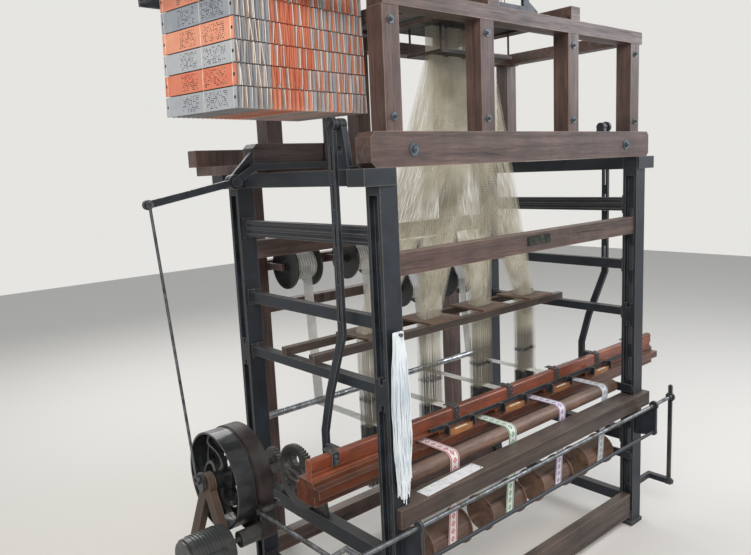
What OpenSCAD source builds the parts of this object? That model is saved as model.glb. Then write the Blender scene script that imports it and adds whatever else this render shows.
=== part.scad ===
// Narrow-fabric power loom with a pattern-card head, weaving four ribbons side by side.
// X runs along the loom's width, Y from the weaver's side to the warp creel, Z up from the floor.
// Every place below is measured from the middle of the iron frame, and the finished
// model is moved so that the origin lies on the floor under the middle of its bounding box.

/* [Iron frame] */
// Width of the iron frame over its posts
frame_w = 2200; // [2150:10:2500]
// Depth of the iron frame over its posts
frame_d = 1250; // [1230:10:1350]
// Height of the iron frame
frame_h = 2404; // [2380:2:2500]
// Width of an iron post
post_w = 100; // [80:2:110]
// Depth of an iron post
post_d = 90; // [70:2:96]
// Width of the side rails
rail_w = 60; // [44:2:70]
// Height of the top side rails
top_rail_h = 74; // [50:2:90]
// Bottom of the grooved upper side rails
upper_rail_z = 2071; // [2000:1:2150]
// Bottom of the middle side rails
middle_rail_z = 1700; // [1600:5:1800]
// Bottom of the side rails that carry the harness
lower_rail_z = 1400; // [1350:5:1450]
// Bottom of the side rails that carry the shafts
shaft_rail_z = 560; // [500:5:600]
// Bottom of the side rails near the floor
foot_rail_z = 120; // [80:5:200]

/* [Timber] */
// Bottom of the beam across the front posts
cross_beam_z = 1935; // [1900:5:1960]
// Height of the beam across the front posts
cross_beam_h = 101; // [80:1:120]
// Height of the top of the breast plank
plank_top = 890; // [860:5:895]
// Thickness of the breast plank
plank_t = 88; // [60:2:100]
// How far the breast plank stands in front of the posts
plank_lip = 30; // [20:1:40]
// Top of the plank near the floor
low_plank_top = 215; // [180:5:260]
// Depth of the gantry timbers, front to back
timber_d = 100; // [80:2:110]
// Height of the gantry's lower beams
gantry_beam_h = 149; // [120:1:160]
// Width of a gantry post
gantry_post_w = 94; // [70:2:100]
// Height of the gantry posts
gantry_post_h = 509; // [480:1:560]
// Height of the gantry's top beams
gantry_top_h = 68; // [50:1:80]
// Front face of the rear gantry beams
rear_gantry_y = 285; // [280:5:320]

/* [Ribbons and harness] */
// Number of ribbons
ribbons = 4; // [3:1:4]
// Distance between ribbons, as a share of half the width between the posts
ribbon_step = 0.47; // [0.44:0.01:0.47]
// Place of the first ribbon left of the middle, as a share of the same half width
first_ribbon = 0.58; // [0.58:0.01:0.6]
// Width of a ribbon
ribbon_w = 77; // [59:18:77]
// Thickness of the cloth and of the warp sheet
cloth_t = 2; // [1:0.5:2.5]
// Width of a harness bundle
bundle_w = 150; // [120:6:162]
// Depth of a harness bundle
bundle_d = 90; // [72:6:96]
// Height of the ridges that the cords make
cord_ridge = 4; // [2:0.5:5]
// How far the board that gathers the harness hangs below the gantry's top
guide_board_drop = 145; // [120:5:230]
// Width of the comber rails, front to back
comber_rail_w = 40; // [30:2:50]
// Height of the comber rails
comber_rail_h = 45; // [30:1:60]
// Bottom of the harness weights
weight_z = 600; // [520:10:700]

/* [Batten] */
// Height of the batten's pivots above the iron frame
batten_pivot_rise = 196; // [176:2:236]
// Place of the batten's pivots, front to back
batten_pivot_y = -345; // [-350:1:-335]
// Width of a sword bar
sword_w = 42; // [34:2:46]
// Thickness of a sword bar
sword_t = 20; // [14:1:22]
// Reach of the batten past the frame's middle, to the left
batten_left = 1320; // [1300:5:1330]
// Reach of the batten past the frame's middle, to the right
batten_right = 1800; // [1750:5:1850]
// Height of the polished upper rail
hand_rail_h = 100; // [80:2:110]
// Depth of the polished upper rail
hand_rail_d = 45; // [36:1:50]
// Length of a shuttle
shuttle_l = 200; // [170:5:220]

/* [Drive] */
// Outer radius of the fast and loose pulleys
pulley_r = 250; // [220:2:254]
// Width of one pulley
pulley_w = 95; // [80:1:98]
// Radius of the drive shaft
drive_r = 20; // [16:1:22]
// Radius of the crankshaft
crankshaft_r = 18; // [14:1:20]
// Throw of the batten cranks
crank_throw = 32; // [24:1:36]
// Throw of the lift crank
lift_throw = 38; // [30:1:42]
// Gear module
gear_module = 6; // [5.5:0.1:6]
// Teeth on the crankshaft gear
gear_teeth = 54; // [52:1:56]
// Teeth on the drive pinion
pinion_teeth = 22; // [20:1:24]
// Radius of the motor's body
motor_r = 110; // [95:1:115]
// Radius of the motor's pulley
motor_pulley_r = 40; // [34:1:44]
// Thickness of the belt
belt_t = 5; // [3:0.5:6]
// Radius of the starting rod
rod_r = 11; // [9:0.5:13]

/* [Pattern-card head] */
// Length of a card
card_l = 480; // [440:5:490]
// Pitch of the cards in the chain
card_pitch = 86; // [80:1:88]
// Cards in one hanging run of the pack
cards_per_run = 6; // [5:1:6]
// Number of hanging runs in the pack
card_runs = 30; // [24:2:30]
// Thickness of a card
card_t = 3.6; // [2:0.2:5]
// Width of the head between its end frames' feet
head_w = 600; // [560:10:620]

/* [Hidden] */
$fn = 48;

// Running clearance of a shaft in its bore
run = 0.05;
// Gap between pieces that move past each other
gap = 0.3;

// Frame planes
x_out = frame_w / 2;
x_in = x_out - post_w;
y_front = -frame_d / 2;
y_back = frame_d / 2;
rail_x = x_out - post_w / 2;
web = 44;
channel_depth = (post_w - web) / 2;
head_lip = 12;

// Gantry planes
gantry_z0 = frame_h;
gantry_z1 = gantry_z0 + gantry_beam_h;
gantry_z2 = gantry_z1 + gantry_post_h;
gantry_z3 = gantry_z2 + gantry_top_h;
gantry_reach = x_out + 36;
gantry_post_x = [-998, -387, 324, 968];
top_beam_reach = gantry_post_x[3] + gantry_post_w / 2 + 26;
beam_bolt_x = [-893, 863];
beam_bolt_rise = 72;
bearer_w = 80;
left_bearer_x = -780;

// Ribbon line
ribbon_pitch = ribbon_step * x_in;
ribbon_x = [for (i = [0:ribbons - 1]) i * ribbon_pitch - first_ribbon * x_in];
dent_pitch = 9;
strand_w = 5;
dent_w = dent_pitch - 6;
strands = floor(ribbon_w / dent_pitch);
cloth_z = 972.3;
cloth_top = cloth_z + cloth_t;
race_z = cloth_z - 2.3;
fell_y = -262;

// Harness line
guide_board_z = gantry_z3 - guide_board_drop;
harness_y = 100;
comber_front_y = -45;
comber_back_y = 200;
comber_z0 = lower_rail_z + 50;
comber_z1 = comber_z0 + comber_rail_h;
comber_board_t = 12;
neck_scale = 0.76;
neck_w = bundle_w * neck_scale;
neck_d = bundle_d * neck_scale;
neck_y = -110;
neck_pitch = 136;
neck_x = [for (i = [0:ribbons - 1]) (i - (ribbons - 1) / 2) * neck_pitch];

// Rollers at the front
roller_y = y_front + 145;
roller_r = 40;
roller_z = cloth_z - gap - roller_r;
drum_y = y_front + 225;
drum_z = 480;
drum_r = 88;
drum_l = 0.28 * x_in;
journal_r = 12;

// Batten
batten_pivot_z = frame_h + batten_pivot_rise;
sword_x = x_out + 8;
sword_low_y = batten_pivot_y + 175;
race_back = sword_low_y - sword_w / 2;
race_front = race_back - 139;
rail_front = race_back - 129;
hand_rail_z = race_z + 30;
ledge_front = race_front - 42;
shuttle_y = race_front - 22;
shuttle_z = cloth_top + 0.5;
reed_y = race_back - 14;
sword_pin_z = 843;
sword_pin_r = 10;

// Shafts
drive_y = 265;
drive_z = 884;
mesh_c = gear_module * (gear_teeth + pinion_teeth) / 2;
crank_drop = 22;
mesh_angle = asin(crank_drop / mesh_c);
crank_y = drive_y - mesh_c * cos(mesh_angle);
crank_z = drive_z - mesh_c * sin(mesh_angle);
arm_angle = atan2(crank_z - sword_pin_z, crank_y - sword_low_y);
gear_x = x_out + 41;
gear_w = 25;
crank_disc_x = gear_x + gear_w + 4;
crank_disc_t = 20;
arm_x = crank_disc_x + crank_disc_t + 6;
arm_t = 16;
pulley_gap = 5;
loose_x = 1320;
fast_x = loose_x + pulley_w + pulley_gap;
stand_x = fast_x + pulley_w + 10;
stand_t = 40;
lift_disc_x = stand_x + stand_t + 7;
lift_disc_t = 18;
lift_eye_x = lift_disc_x + lift_disc_t + 6;
motor_y = 45;
motor_z = 655;
motor_x0 = stand_x + stand_t + 15;
motor_l = 220;
belt_w = pulley_w - 15;

// Lift lever, which swings in its own upright plane
lever_y = 262;
lever_t = 20;
lever_w = 34;
lever_pivot = [-1265, frame_h - 37];
lever_out = [-1720, frame_h - 119];
lever_knee = [-1150, frame_h + 33];
lever_in = [-674, frame_h + 33];

// Front rods
rod_y = y_front - 110;
rod_z = 836;
guard_z = 660;
lever_x = x_out + 170;
lever_foot_z = 250;

// Pattern-card head, its middle line front to back, and its heights
head_y = -110;
head_d = card_l;
head_z0 = gantry_z3;
head_z1 = head_z0 + 70;
head_z2 = head_z1 + 360;
cylinder_x = -head_w / 2 - 105;
cylinder_z = head_z1 + 200;
slide_z = cylinder_z - 72;
cylinder_side = card_pitch - 6;
griffe_z = head_z2 + 14;
griffe_lift = 100;
guide_r = 8;
pack_w = 750;
pack_x = -1270;
cradle_h = 40;
pack_top = gantry_z3 + cradle_h;
pack_turn = 8;
pack_reach = card_l / 2 * cos(pack_turn) + pack_w / 2 * sin(pack_turn);
cradle_rail_t = 12;
wire_r = 3;

// Warp creel
creel_y = y_back + 290;
bobbin_y = y_back + 140;
bobbin_z = [1830, 1830, 1560, 1560];
bobbin_r = 138;
yarn_r = 90;
bobbin_l = 190;
spindle_r = 11;

// Middle of the bounding box, which becomes the origin
box_left = motor_x0 + motor_l;
box_front = rod_y - 30;
box_back = creel_y + 90;
shift = [(box_left - batten_right) / 2, -(box_front + box_back) / 2, 0];

// Moves a piece from the frame's middle to the model's origin
module placed() {
    translate(shift) children();
}

// A straight bar with its corners at two points
module bar(low, high) {
    translate(low) cube(high - low);
}

module xcyl(x0, x1, y, z, r) {
    translate([x0, y, z]) rotate([0, 90, 0]) cylinder(h = x1 - x0, r = r);
}

module ycyl(y0, y1, x, z, r) {
    translate([x, y0, z]) rotate([-90, 0, 0]) cylinder(h = y1 - y0, r = r);
}

module zcyl(z0, z1, x, y, r) {
    translate([x, y, z0]) cylinder(h = z1 - z0, r = r);
}

// An outline drawn in Y and Z, and given a thickness along X
module plate_x(x0, x1) {
    translate([x0, 0, 0]) rotate([90, 0, 90]) linear_extrude(x1 - x0) children();
}

// An outline drawn in X and Z, and given a thickness along Y
module plate_y(y0, y1) {
    translate([0, y1, 0]) rotate([90, 0, 0]) linear_extrude(y1 - y0) children();
}

// A round rod between two points
module rod(p, q, r) {
    v = q - p;
    translate(p) rotate([0, acos(v.z / norm(v)), atan2(v.y, v.x)]) cylinder(h = norm(v), r = r);
}

// Both sides of the loom, for a piece drawn on its right side
module both_sides() {
    for (s = [0, 1]) mirror([s, 0, 0]) children();
}

// A flat bar between two points of an outline, with square ends
module flat_bar(p, q, w) {
    v = q - p;
    translate(p) rotate(atan2(v.y, v.x)) translate([0, -w / 2]) square([norm(v), w]);
}

// A flat strap between two points of an outline, with round ends
module strap(p, q, w) {
    flat_bar(p, q, w);
    translate(p) circle(r = w / 2);
    translate(q) circle(r = w / 2);
}

// Iron posts: channels on both broad faces, slots through the web, a foot and a head
module slotted_post() {
    channel_w = post_d - 36;
    slot_h = 150;
    slot_pitch = 240;
    foot_h = 24;
    difference() {
        union() {
            bar([x_in, y_front, 0], [x_out, y_front + post_d, frame_h]);
            bar([x_in - 25, y_front - 12, 0], [x_out + 5, y_front + post_d + 25, foot_h]);
            bar([x_in + 10, y_front - 10, frame_h - top_rail_h],
                [x_out + 90, y_front + post_d + head_lip, frame_h]);
            bar([x_in - 12, y_front + 10, 0], [x_out + 4, y_front + post_d - 10, 90]);
        }
        for (x = [x_in, x_out]) {
            x0 = x == x_in ? x_in - 1 : x_out - channel_depth;
            bar([x0, y_front + 18, 130], [x0 + channel_depth + 1, y_front + 18 + channel_w, lower_rail_z - 60]);
            bar([x0, y_front + 18, lower_rail_z + 90],
                [x0 + channel_depth + 1, y_front + 18 + channel_w, frame_h - top_rail_h - 40]);
        }
        for (z = [260:slot_pitch:frame_h - 300]) {
            bar([x_in - 1, y_front + post_d / 2 - 10, z], [x_out + 1, y_front + post_d / 2 + 10, z + slot_h]);
        }
        for (x = [x_in - 14, x_out - 8]) {
            zcyl(-1, foot_h + 1, x, y_front + post_d + 13, 8);
        }
    }
}

module front_left_post() {
    color("#2a3038") placed() mirror([1, 0, 0]) slotted_post();
}

module front_right_post() {
    color("#2a3038") placed() slotted_post();
}

module rear_posts() {
    color("#2a3038") placed() mirror([0, 1, 0]) both_sides() slotted_post();
}

// A side rail between the posts, with a bolted pad at each end
module side_rail(z, h, w) {
    y0 = y_front + post_d;
    bar([rail_x - w / 2, y0, z], [rail_x + w / 2, -y0, z + h]);
    for (s = [0, 1]) mirror([0, s, 0]) {
        bar([rail_x - 36, y0, z - 14], [rail_x + 36, y0 + 14, z + h + 14]);
        for (dz = [-2, h + 2]) ycyl(y0 + 14, y0 + 24, rail_x, z + dz, 8);
    }
}

module side_rails() {
    groove = 7;
    y0 = y_front + post_d;
    bar([rail_x - rail_w / 2, y0 + head_lip, frame_h - top_rail_h],
        [rail_x + rail_w / 2, -y0 - head_lip, frame_h]);
    difference() {
        side_rail(upper_rail_z, 83, rail_w - 10);
        for (dz = [14, 48]) for (s = [-1, 1]) {
            x0 = rail_x + s * (rail_w - 10) / 2;
            bar([x0 - groove, y0 + 24, upper_rail_z + dz], [x0 + groove, -y0 - 24, upper_rail_z + dz + 20]);
        }
    }
    side_rail(middle_rail_z, 60, rail_w - 20);
    side_rail(lower_rail_z, 50, rail_w - 8);
    side_rail(shaft_rail_z, 80, rail_w);
    side_rail(foot_rail_z, 70, rail_w - 10);
}

module left_side_rails() {
    color("#2d3239") placed() mirror([1, 0, 0]) side_rails();
}

module right_side_rails() {
    color("#2d3239") placed() side_rails();
}

// Timbers across the frame; the front one carries a bare plate
module cross_beams() {
    color("#4b3a36") placed() {
        bar([-x_in, y_front + 12, cross_beam_z], [x_in, y_front + post_d - 8, cross_beam_z + cross_beam_h]);
        bar([300, y_front + 10.5, cross_beam_z + 34], [410, y_front + 12, cross_beam_z + 66]);
        mirror([0, 1, 0]) for (z = [cross_beam_z, foot_rail_z + 40]) {
            bar([-x_in, y_front + 12, z], [x_in, y_front + post_d - 8, z + cross_beam_h]);
        }
    }
}

// The breast plank is notched round the two front posts
module breast_plank() {
    color("#4a4140") placed() difference() {
        bar([-x_out + 20, y_front - plank_lip, plank_top - plank_t],
            [x_out + 45, y_front + post_d, plank_top]);
        both_sides() {
            bar([x_in, y_front, plank_top - plank_t - 1], [x_out, y_front + post_d + 1, plank_top + 1]);
        }
    }
}

module low_plank() {
    color("#4e443f") placed() {
        bar([-x_in + 12, y_front + 10, low_plank_top - 160], [x_in - 12, y_front + 68, low_plank_top]);
    }
}

// Timber gantry that carries the head: lower beams with chamfered ends
module gantry_beam(y) {
    chamfer = 22;
    plate_y(y, y + timber_d) polygon([
        [-gantry_reach, gantry_z0 + chamfer], [-gantry_reach + chamfer, gantry_z0],
        [gantry_reach - chamfer, gantry_z0], [gantry_reach, gantry_z0 + chamfer],
        [gantry_reach, gantry_z1 - chamfer], [gantry_reach - chamfer, gantry_z1],
        [-gantry_reach + chamfer, gantry_z1], [-gantry_reach, gantry_z1 - chamfer]
    ]);
}

module gantry_lower_beams() {
    color("#6b5552") placed() {
        gantry_beam(y_front);
        gantry_beam(rear_gantry_y);
    }
}

module gantry_posts() {
    color("#705a56") placed() for (x = gantry_post_x) for (y = [y_front, rear_gantry_y]) {
        bar([x - gantry_post_w / 2, y + 3, gantry_z1], [x + gantry_post_w / 2, y + timber_d - 3, gantry_z2]);
    }
}

// Top beams, and the two bearers that the head stands on
module gantry_top_beams() {
    color("#6b5552") placed() {
        for (y = [y_front, rear_gantry_y]) {
            bar([-top_beam_reach, y, gantry_z2], [top_beam_reach, y + timber_d, gantry_z3]);
        }
        for (x = [left_bearer_x, gantry_post_x[3]]) {
            bar([x - bearer_w / 2, y_front, gantry_z2], [x + bearer_w / 2, rear_gantry_y + timber_d, gantry_z3]);
        }
        for (x = [-head_w / 2 - bearer_w, head_w / 2]) {
            bar([x, y_front, gantry_z3], [x + bearer_w, rear_gantry_y + timber_d, head_z1]);
        }
    }
}

// A bolt end: broad washer, six-sided nut and the thread's end
module bolt_end(x, y, z, r) {
    ycyl(y - 4, y, x, z, r);
    translate([x, y - 4, z]) rotate([90, 0, 0]) cylinder(h = r / 2, r = r * 0.58, $fn = 6);
    ycyl(y - 10 - r / 2, y - 3, x, z, r / 4);
}

module frame_bolts() {
    color("#6a5a48") placed() {
        for (x = beam_bolt_x) bolt_end(x, y_front, gantry_z0 + beam_bolt_rise, 28);
        for (x = gantry_post_x) for (z = [gantry_z1 + 60, gantry_z2 - 60]) {
            bolt_end(x, y_front + 3, z, 17);
        }
        for (x = beam_bolt_x) translate([0, 2 * rear_gantry_y + timber_d, 0]) mirror([0, 1, 0]) {
            bolt_end(x, rear_gantry_y, gantry_z0 + beam_bolt_rise, 28);
        }
    }
}

// Creel behind the frame: timber uprights, rails and the arms that hold the bobbin spindles
module creel_frame() {
    arm = bobbin_l / 2 + 26;
    beam_z = gantry_z0 + 51;
    color("#6a4238") placed() {
        for (x = [-760, 1010]) bar([x - 55, creel_y, 0], [x + 55, creel_y + 90, beam_z]);
        bar([-gantry_reach, creel_y - 5, beam_z], [gantry_reach, creel_y + 90, beam_z + 95]);
        both_sides() {
            bar([rail_x - 40, y_back - post_d - 10, gantry_z0], [rail_x + 40, creel_y + 90, beam_z]);
        }
        for (z = [bobbin_z[0], bobbin_z[3]]) {
            bar([-705, creel_y + 10, z - 32], [955, creel_y + 80, z + 32]);
        }
        for (i = [0:ribbons - 1]) {
            x = ribbon_x[i];
            z = bobbin_z[i];
            for (s = [-1, 1]) {
                bar([x + s * arm - 7, bobbin_y - 20, z - 20], [x + s * arm + 7, creel_y + 10, z + 20]);
            }
            xcyl(x - arm - 10, x + arm + 10, bobbin_y, z, spindle_r);
        }
    }
}

// A warp bobbin: two black flanges, and the wound yarn between them
module warp_bobbin(i) {
    x = ribbon_x[i];
    flange = 12;
    translate([x, bobbin_y, bobbin_z[i]]) rotate([0, 90, 0]) rotate_extrude($fn = 64) polygon([
        [spindle_r + run, -bobbin_l / 2 - 8], [34, -bobbin_l / 2 - 8], [34, -bobbin_l / 2],
        [bobbin_r, -bobbin_l / 2], [bobbin_r, -bobbin_l / 2 + flange], [yarn_r, -bobbin_l / 2 + flange],
        [yarn_r, bobbin_l / 2 - flange], [bobbin_r, bobbin_l / 2 - flange], [bobbin_r, bobbin_l / 2],
        [34, bobbin_l / 2], [34, bobbin_l / 2 + 8], [spindle_r + run, bobbin_l / 2 + 8]
    ]);
}

module warp_bobbin_1() {
    color("#17171a") placed() warp_bobbin(0);
}

module warp_bobbin_2() {
    color("#17171a") placed() warp_bobbin(1);
}

module warp_bobbin_3() {
    color("#17171a") placed() warp_bobbin(2);
}

module warp_bobbin_4() {
    color("#17171a") placed() warp_bobbin(min(3, ribbons - 1));
}

// The bar that turns the warp towards the harness
back_bar_r = 20;
back_bar_y = y_back - 25;
back_bar_z = cloth_top + gap + back_bar_r;

module back_bar() {
    color("#8a8e92") placed() xcyl(-x_in, x_in, back_bar_y, back_bar_z, back_bar_r);
}

// White warp: down from the bobbin, round the back bar, and forward as separate strands
module warp_sheets() {
    back = back_bar_y + back_bar_r + gap;
    color("#dfe6ea") placed() for (i = [0:ribbons - 1]) {
        x = ribbon_x[i];
        top = bobbin_z[i];
        half = strands * dent_pitch / 2 - 2;
        plate_x(x - half, x + half) {
            polygon([
                [bobbin_y - yarn_r - gap - cloth_t, top], [back, back_bar_z], [back, cloth_z + 6],
                [back - 4, cloth_top], [harness_y - bundle_d / 2 - 4, cloth_top],
                [harness_y - bundle_d / 2 - 4, cloth_z], [back - 3, cloth_z],
                [back + cloth_t, cloth_z + 5], [back + cloth_t, back_bar_z],
                [bobbin_y - yarn_r - gap, top]
            ]);
        }
        for (k = [0:strands - 1]) {
            sx = x + (k - (strands - 1) / 2) * dent_pitch;
            bar([sx - strand_w / 2, fell_y, cloth_z], [sx + strand_w / 2, harness_y - bundle_d / 2 - 4, cloth_top]);
        }
    }
}

// The drum's and roller's bands, seen from the end
module band_outline() {
    r0 = roller_r + gap;
    d0 = drum_r + gap;
    v = [drum_y - roller_y, drum_z - roller_z];
    lean = atan2(v.y, v.x) - asin((d0 - r0) / norm(v));
    n = [sin(lean), -cos(lean)];
    translate([roller_y, cloth_z]) square([fell_y - roller_y, cloth_t]);
    intersection() {
        translate([roller_y, roller_z]) difference() {
            circle(r = r0 + cloth_t);
            circle(r = r0);
        }
        translate([roller_y, roller_z]) polygon([
            [0, 0], [0, 2 * r0], [-2 * r0, 2 * r0], n * 3 * r0
        ]);
    }
    polygon([
        [roller_y, roller_z] + n * r0, [roller_y, roller_z] + n * (r0 + cloth_t),
        [drum_y, drum_z] + n * (d0 + cloth_t), [drum_y, drum_z] + n * d0
    ]);
    intersection() {
        translate([drum_y, drum_z]) difference() {
            circle(r = d0 + cloth_t);
            circle(r = d0);
        }
        translate([drum_y, drum_z]) polygon([[0, 0], n * 3 * d0, [-3 * d0, -3 * d0], [0, -3 * d0]]);
    }
}

module woven_ribbons() {
    half = (strands * dent_pitch - (dent_pitch - strand_w)) / 2;
    color("#d9c6c8") placed() for (x = ribbon_x) plate_x(x - half, x + half) band_outline();
}

module comber_rails() {
    color("#51413c") placed() for (y = [comber_front_y, comber_back_y]) {
        bar([-rail_x - 25, y, comber_z0], [rail_x + 25, y + comber_rail_w, comber_z1]);
    }
}

module comber_boards() {
    color("#7a5f4c") placed() for (x = ribbon_x) difference() {
        bar([x - 130, comber_front_y, comber_z1],
            [x + 130, comber_back_y + comber_rail_w, comber_z1 + comber_board_t]);
        bar([x - bundle_w / 2 - 2, harness_y - bundle_d / 2 - 2, comber_z1 - 1],
            [x + bundle_w / 2 + 2, harness_y + bundle_d / 2 + 2, comber_z1 + comber_board_t + 1]);
    }
}

// Outline of a bundle of cords: a rectangle whose sides are ridged
function ridges(a, b, n, depth) = let (v = b - a, u = v / norm(v), m = [u.y, -u.x])
    [for (i = [0:2 * n - 1]) a + v * i / (2 * n) - m * (i % 2 == 1 ? depth : 0)];

function bundle_outline(w, d) = concat(
    ridges([-w / 2, -d / 2], [w / 2, -d / 2], 8, cord_ridge),
    ridges([w / 2, -d / 2], [w / 2, d / 2], 5, cord_ridge),
    ridges([w / 2, d / 2], [-w / 2, d / 2], 8, cord_ridge),
    ridges([-w / 2, d / 2], [-w / 2, -d / 2], 5, cord_ridge)
);

// A bundle as one solid through a row of stages, each [x, y, z, size]
module cord_bundle(stages) {
    outline = bundle_outline(bundle_w, bundle_d);
    n = len(outline);
    last = len(stages) - 1;
    polyhedron([for (g = stages) for (p = outline) [p.x * g[3] + g[0], p.y * g[3] + g[1], g[2]]], concat(
        [[for (i = [0:n - 1]) i]],
        [[for (i = [n - 1:-1:0]) last * n + i]],
        [for (k = [0:last - 1]) for (i = [0:n - 1])
            [k * n + i, (k + 1) * n + i, (k + 1) * n + (i + 1) % n, k * n + (i + 1) % n]]
    ));
}

// Cream harness cords: from the head's floor board through the guide board,
// spread to the comber boards, and straight down to the warp
module harness_cords() {
    bend_z = comber_z1 + comber_board_t + 6;
    color("#cfc9a6") placed() for (i = [0:ribbons - 1]) cord_bundle([
        [ribbon_x[i], harness_y, cloth_top + gap, 1],
        [ribbon_x[i], harness_y, bend_z, 1],
        [neck_x[i], neck_y, guide_board_z - 4, neck_scale],
        [neck_x[i], neck_y, head_z0 + 10, neck_scale]
    ]);
}

module harness_weights() {
    color("#54585c") placed() for (x = ribbon_x) {
        translate([x, harness_y, weight_z]) linear_extrude(cloth_z - gap - weight_z) {
            polygon(bundle_outline(bundle_w - 12, bundle_d - 10));
        }
    }
}

// Perforated board below the head, hung from the head's floor board by four rods
module guide_board() {
    color("#2c2826") placed() {
        difference() {
            bar([-head_w / 2 + 10, neck_y - 130, guide_board_z], [head_w / 2 - 10, neck_y + 130, guide_board_z + 15]);
            for (x = neck_x) {
                bar([x - neck_w / 2 - 1, neck_y - neck_d / 2 - 1, guide_board_z - 1],
                    [x + neck_w / 2 + 1, neck_y + neck_d / 2 + 1, guide_board_z + 16]);
            }
            for (x = [-260:26:260]) for (y = [-100, -70, 70, 100]) {
                bar([x - 5, neck_y + y - 5, guide_board_z + 9], [x + 5, neck_y + y + 5, guide_board_z + 16]);
            }
        }
        for (x = [-1, 1]) for (y = [-1, 1]) {
            zcyl(guide_board_z + 15, head_z0 + 10, x * (head_w / 2 - 22), neck_y + y * 115, 6);
        }
    }
}

// Cast end frames of the pattern-card head, its floor board and tie bars
module head_frame() {
    foot = head_w / 2 + 60;
    post = 46;
    color("#33363a") placed() {
        for (y = [head_y - head_d / 2 - 20, head_y + head_d / 2]) difference() {
            plate_y(y, y + 20) difference() {
                polygon([
                    [-foot, head_z1], [foot, head_z1], [foot, head_z1 + 24], [head_w / 2 - 20, head_z1 + 70],
                    [head_w / 2 - 20, head_z2], [-head_w / 2 + 20, head_z2],
                    [-head_w / 2 + 20, head_z1 + 70], [-foot, head_z1 + 24]
                ]);
                for (s = [-1, 1]) {
                    x0 = s > 0 ? post / 2 : -head_w / 2 + post + 20;
                    x1 = s > 0 ? head_w / 2 - post - 20 : -post / 2;
                    translate([x0, head_z1 + 40]) square([x1 - x0, head_z2 - head_z1 - 80]);
                }
            }
        }
        for (y = [head_y - head_d / 2, head_y + head_d / 2 - 40]) {
            difference() {
                bar([-head_w / 2 + 14, y, slide_z - 22], [-head_w / 2 + 90, y + 40, slide_z + 22]);
                xcyl(-head_w / 2, -head_w / 2 + 100, y + 20, slide_z, 9 + run);
            }
        }
        for (x = [-1, 1]) for (z = [head_z1 + 20, head_z2 - 20]) {
            ycyl(head_y - head_d / 2, head_y + head_d / 2, x * (head_w / 2 - 40), z, 9);
        }
        for (s = [-1, 1]) {
            zcyl(head_z2 - 10, griffe_z + griffe_lift + 36, 0, head_y + s * (head_d / 2 + 10), guide_r);
        }
        bar([-head_w / 2, head_y - head_d / 2, head_z0 + 10], [head_w / 2, head_y + head_d / 2, head_z0 + 28]);
    }
}

// Upright hooks standing in their box, and the needle board that faces the cards
module hook_box() {
    base = head_z0 + 28;
    depth = head_d - 60;
    color("#8d8a80") placed() {
        bar([-220, head_y - depth / 2, base], [220, head_y + depth / 2, base + 60]);
        for (x = [-195:30:195]) for (k = [0:5]) {
            y = head_y + (k - 2.5) * depth / 6.6;
            zcyl(base + 60, head_z2 - 60, x, y, 3);
            bar([x - 9, y - 3, head_z2 - 64], [x + 3, y + 3, head_z2 - 58]);
        }
        bar([-head_w / 2 + 14, head_y - head_d / 2 + 50, base], [-head_w / 2 + 30, head_y + head_d / 2 - 50, cylinder_z + 60]);
    }
}

// The griffe lifts the hooks on its knives, and its yoke reaches to the lift lever
module griffe() {
    half_x = 250;
    half_y = head_d / 2 - 26;
    yoke_y = lever_y + lever_t / 2 + 1;
    link_t = 10;
    lug_w = 20;
    end_y = head_d / 2 + 10;
    color("#6d7075") placed() {
        difference() {
            bar([-half_x, head_y - half_y, griffe_z], [half_x, head_y + half_y, griffe_z + 26]);
            bar([-half_x + 24, head_y - half_y + 24, griffe_z - 1], [half_x - 24, head_y + half_y - 24, griffe_z + 27]);
        }
        for (x = [-183:30:213]) {
            bar([x - 3, head_y - half_y + 10, griffe_z - 66], [x + 1, head_y + half_y - 10, griffe_z + 10]);
        }
        difference() {
            union() {
                bar([-lug_w, head_y + half_y - 10, griffe_z], [lug_w, yoke_y + 16, griffe_z + 26]);
                bar([-lug_w, head_y - end_y - lug_w, griffe_z], [lug_w, head_y - half_y + 10, griffe_z + 26]);
            }
            for (s = [-1, 1]) zcyl(griffe_z - 1, griffe_z + 27, 0, head_y + s * end_y, guide_r + run);
        }
        bar([lever_in.x - 22, yoke_y, griffe_z + 6], [20, yoke_y + 16, griffe_z + 40]);
        bar([lever_in.x - 16, yoke_y, lever_in.y - 20], [lever_in.x + 16, yoke_y + link_t, griffe_z + 20]);
        ycyl(yoke_y, yoke_y + link_t, lever_in.x, lever_in.y, 26);
    }
}

// Slide bars and side cheeks that push the card cylinder against the needles
module cylinder_slide() {
    color("#6d7075") placed() {
        for (s = [-1, 1]) {
            y = head_y + s * (head_d / 2 - 20);
            cheek_y = head_y + s * (card_l / 2 + 6);
            xcyl(cylinder_x - 8, -head_w / 2 + 130, y, slide_z, 9);
            difference() {
                plate_y(min(cheek_y, cheek_y + s * 12), max(cheek_y, cheek_y + s * 12)) {
                    strap([cylinder_x, cylinder_z], [cylinder_x, slide_z], 50);
                }
                ycyl(cheek_y - 20, cheek_y + 20, cylinder_x, cylinder_z, 10 + run);
            }
            y0 = min(y - s * 4, cheek_y + s * 6);
            y1 = max(y - s * 4, cheek_y + s * 6);
            bar([cylinder_x - 18, y0, slide_z - 12], [cylinder_x + 18, y1, slide_z + 12]);
        }
    }
}

// Square cylinder with pegs and needle holes; the cards ride on it
module card_cylinder() {
    h = cylinder_side / 2;
    half = card_l / 2 - 4;
    color("#7b5a3c") placed() {
        difference() {
            bar([cylinder_x - h, head_y - half, cylinder_z - h], [cylinder_x + h, head_y + half, cylinder_z + h]);
            for (k = [-10:10]) for (z = [-16, 0, 16]) {
                xcyl(cylinder_x + h - 14, cylinder_x + h + 1, head_y + k * 16, cylinder_z + z, 3.5);
            }
        }
        ycyl(head_y - half - 24, head_y + half + 24, cylinder_x, cylinder_z, 10);
    }
}

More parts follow.
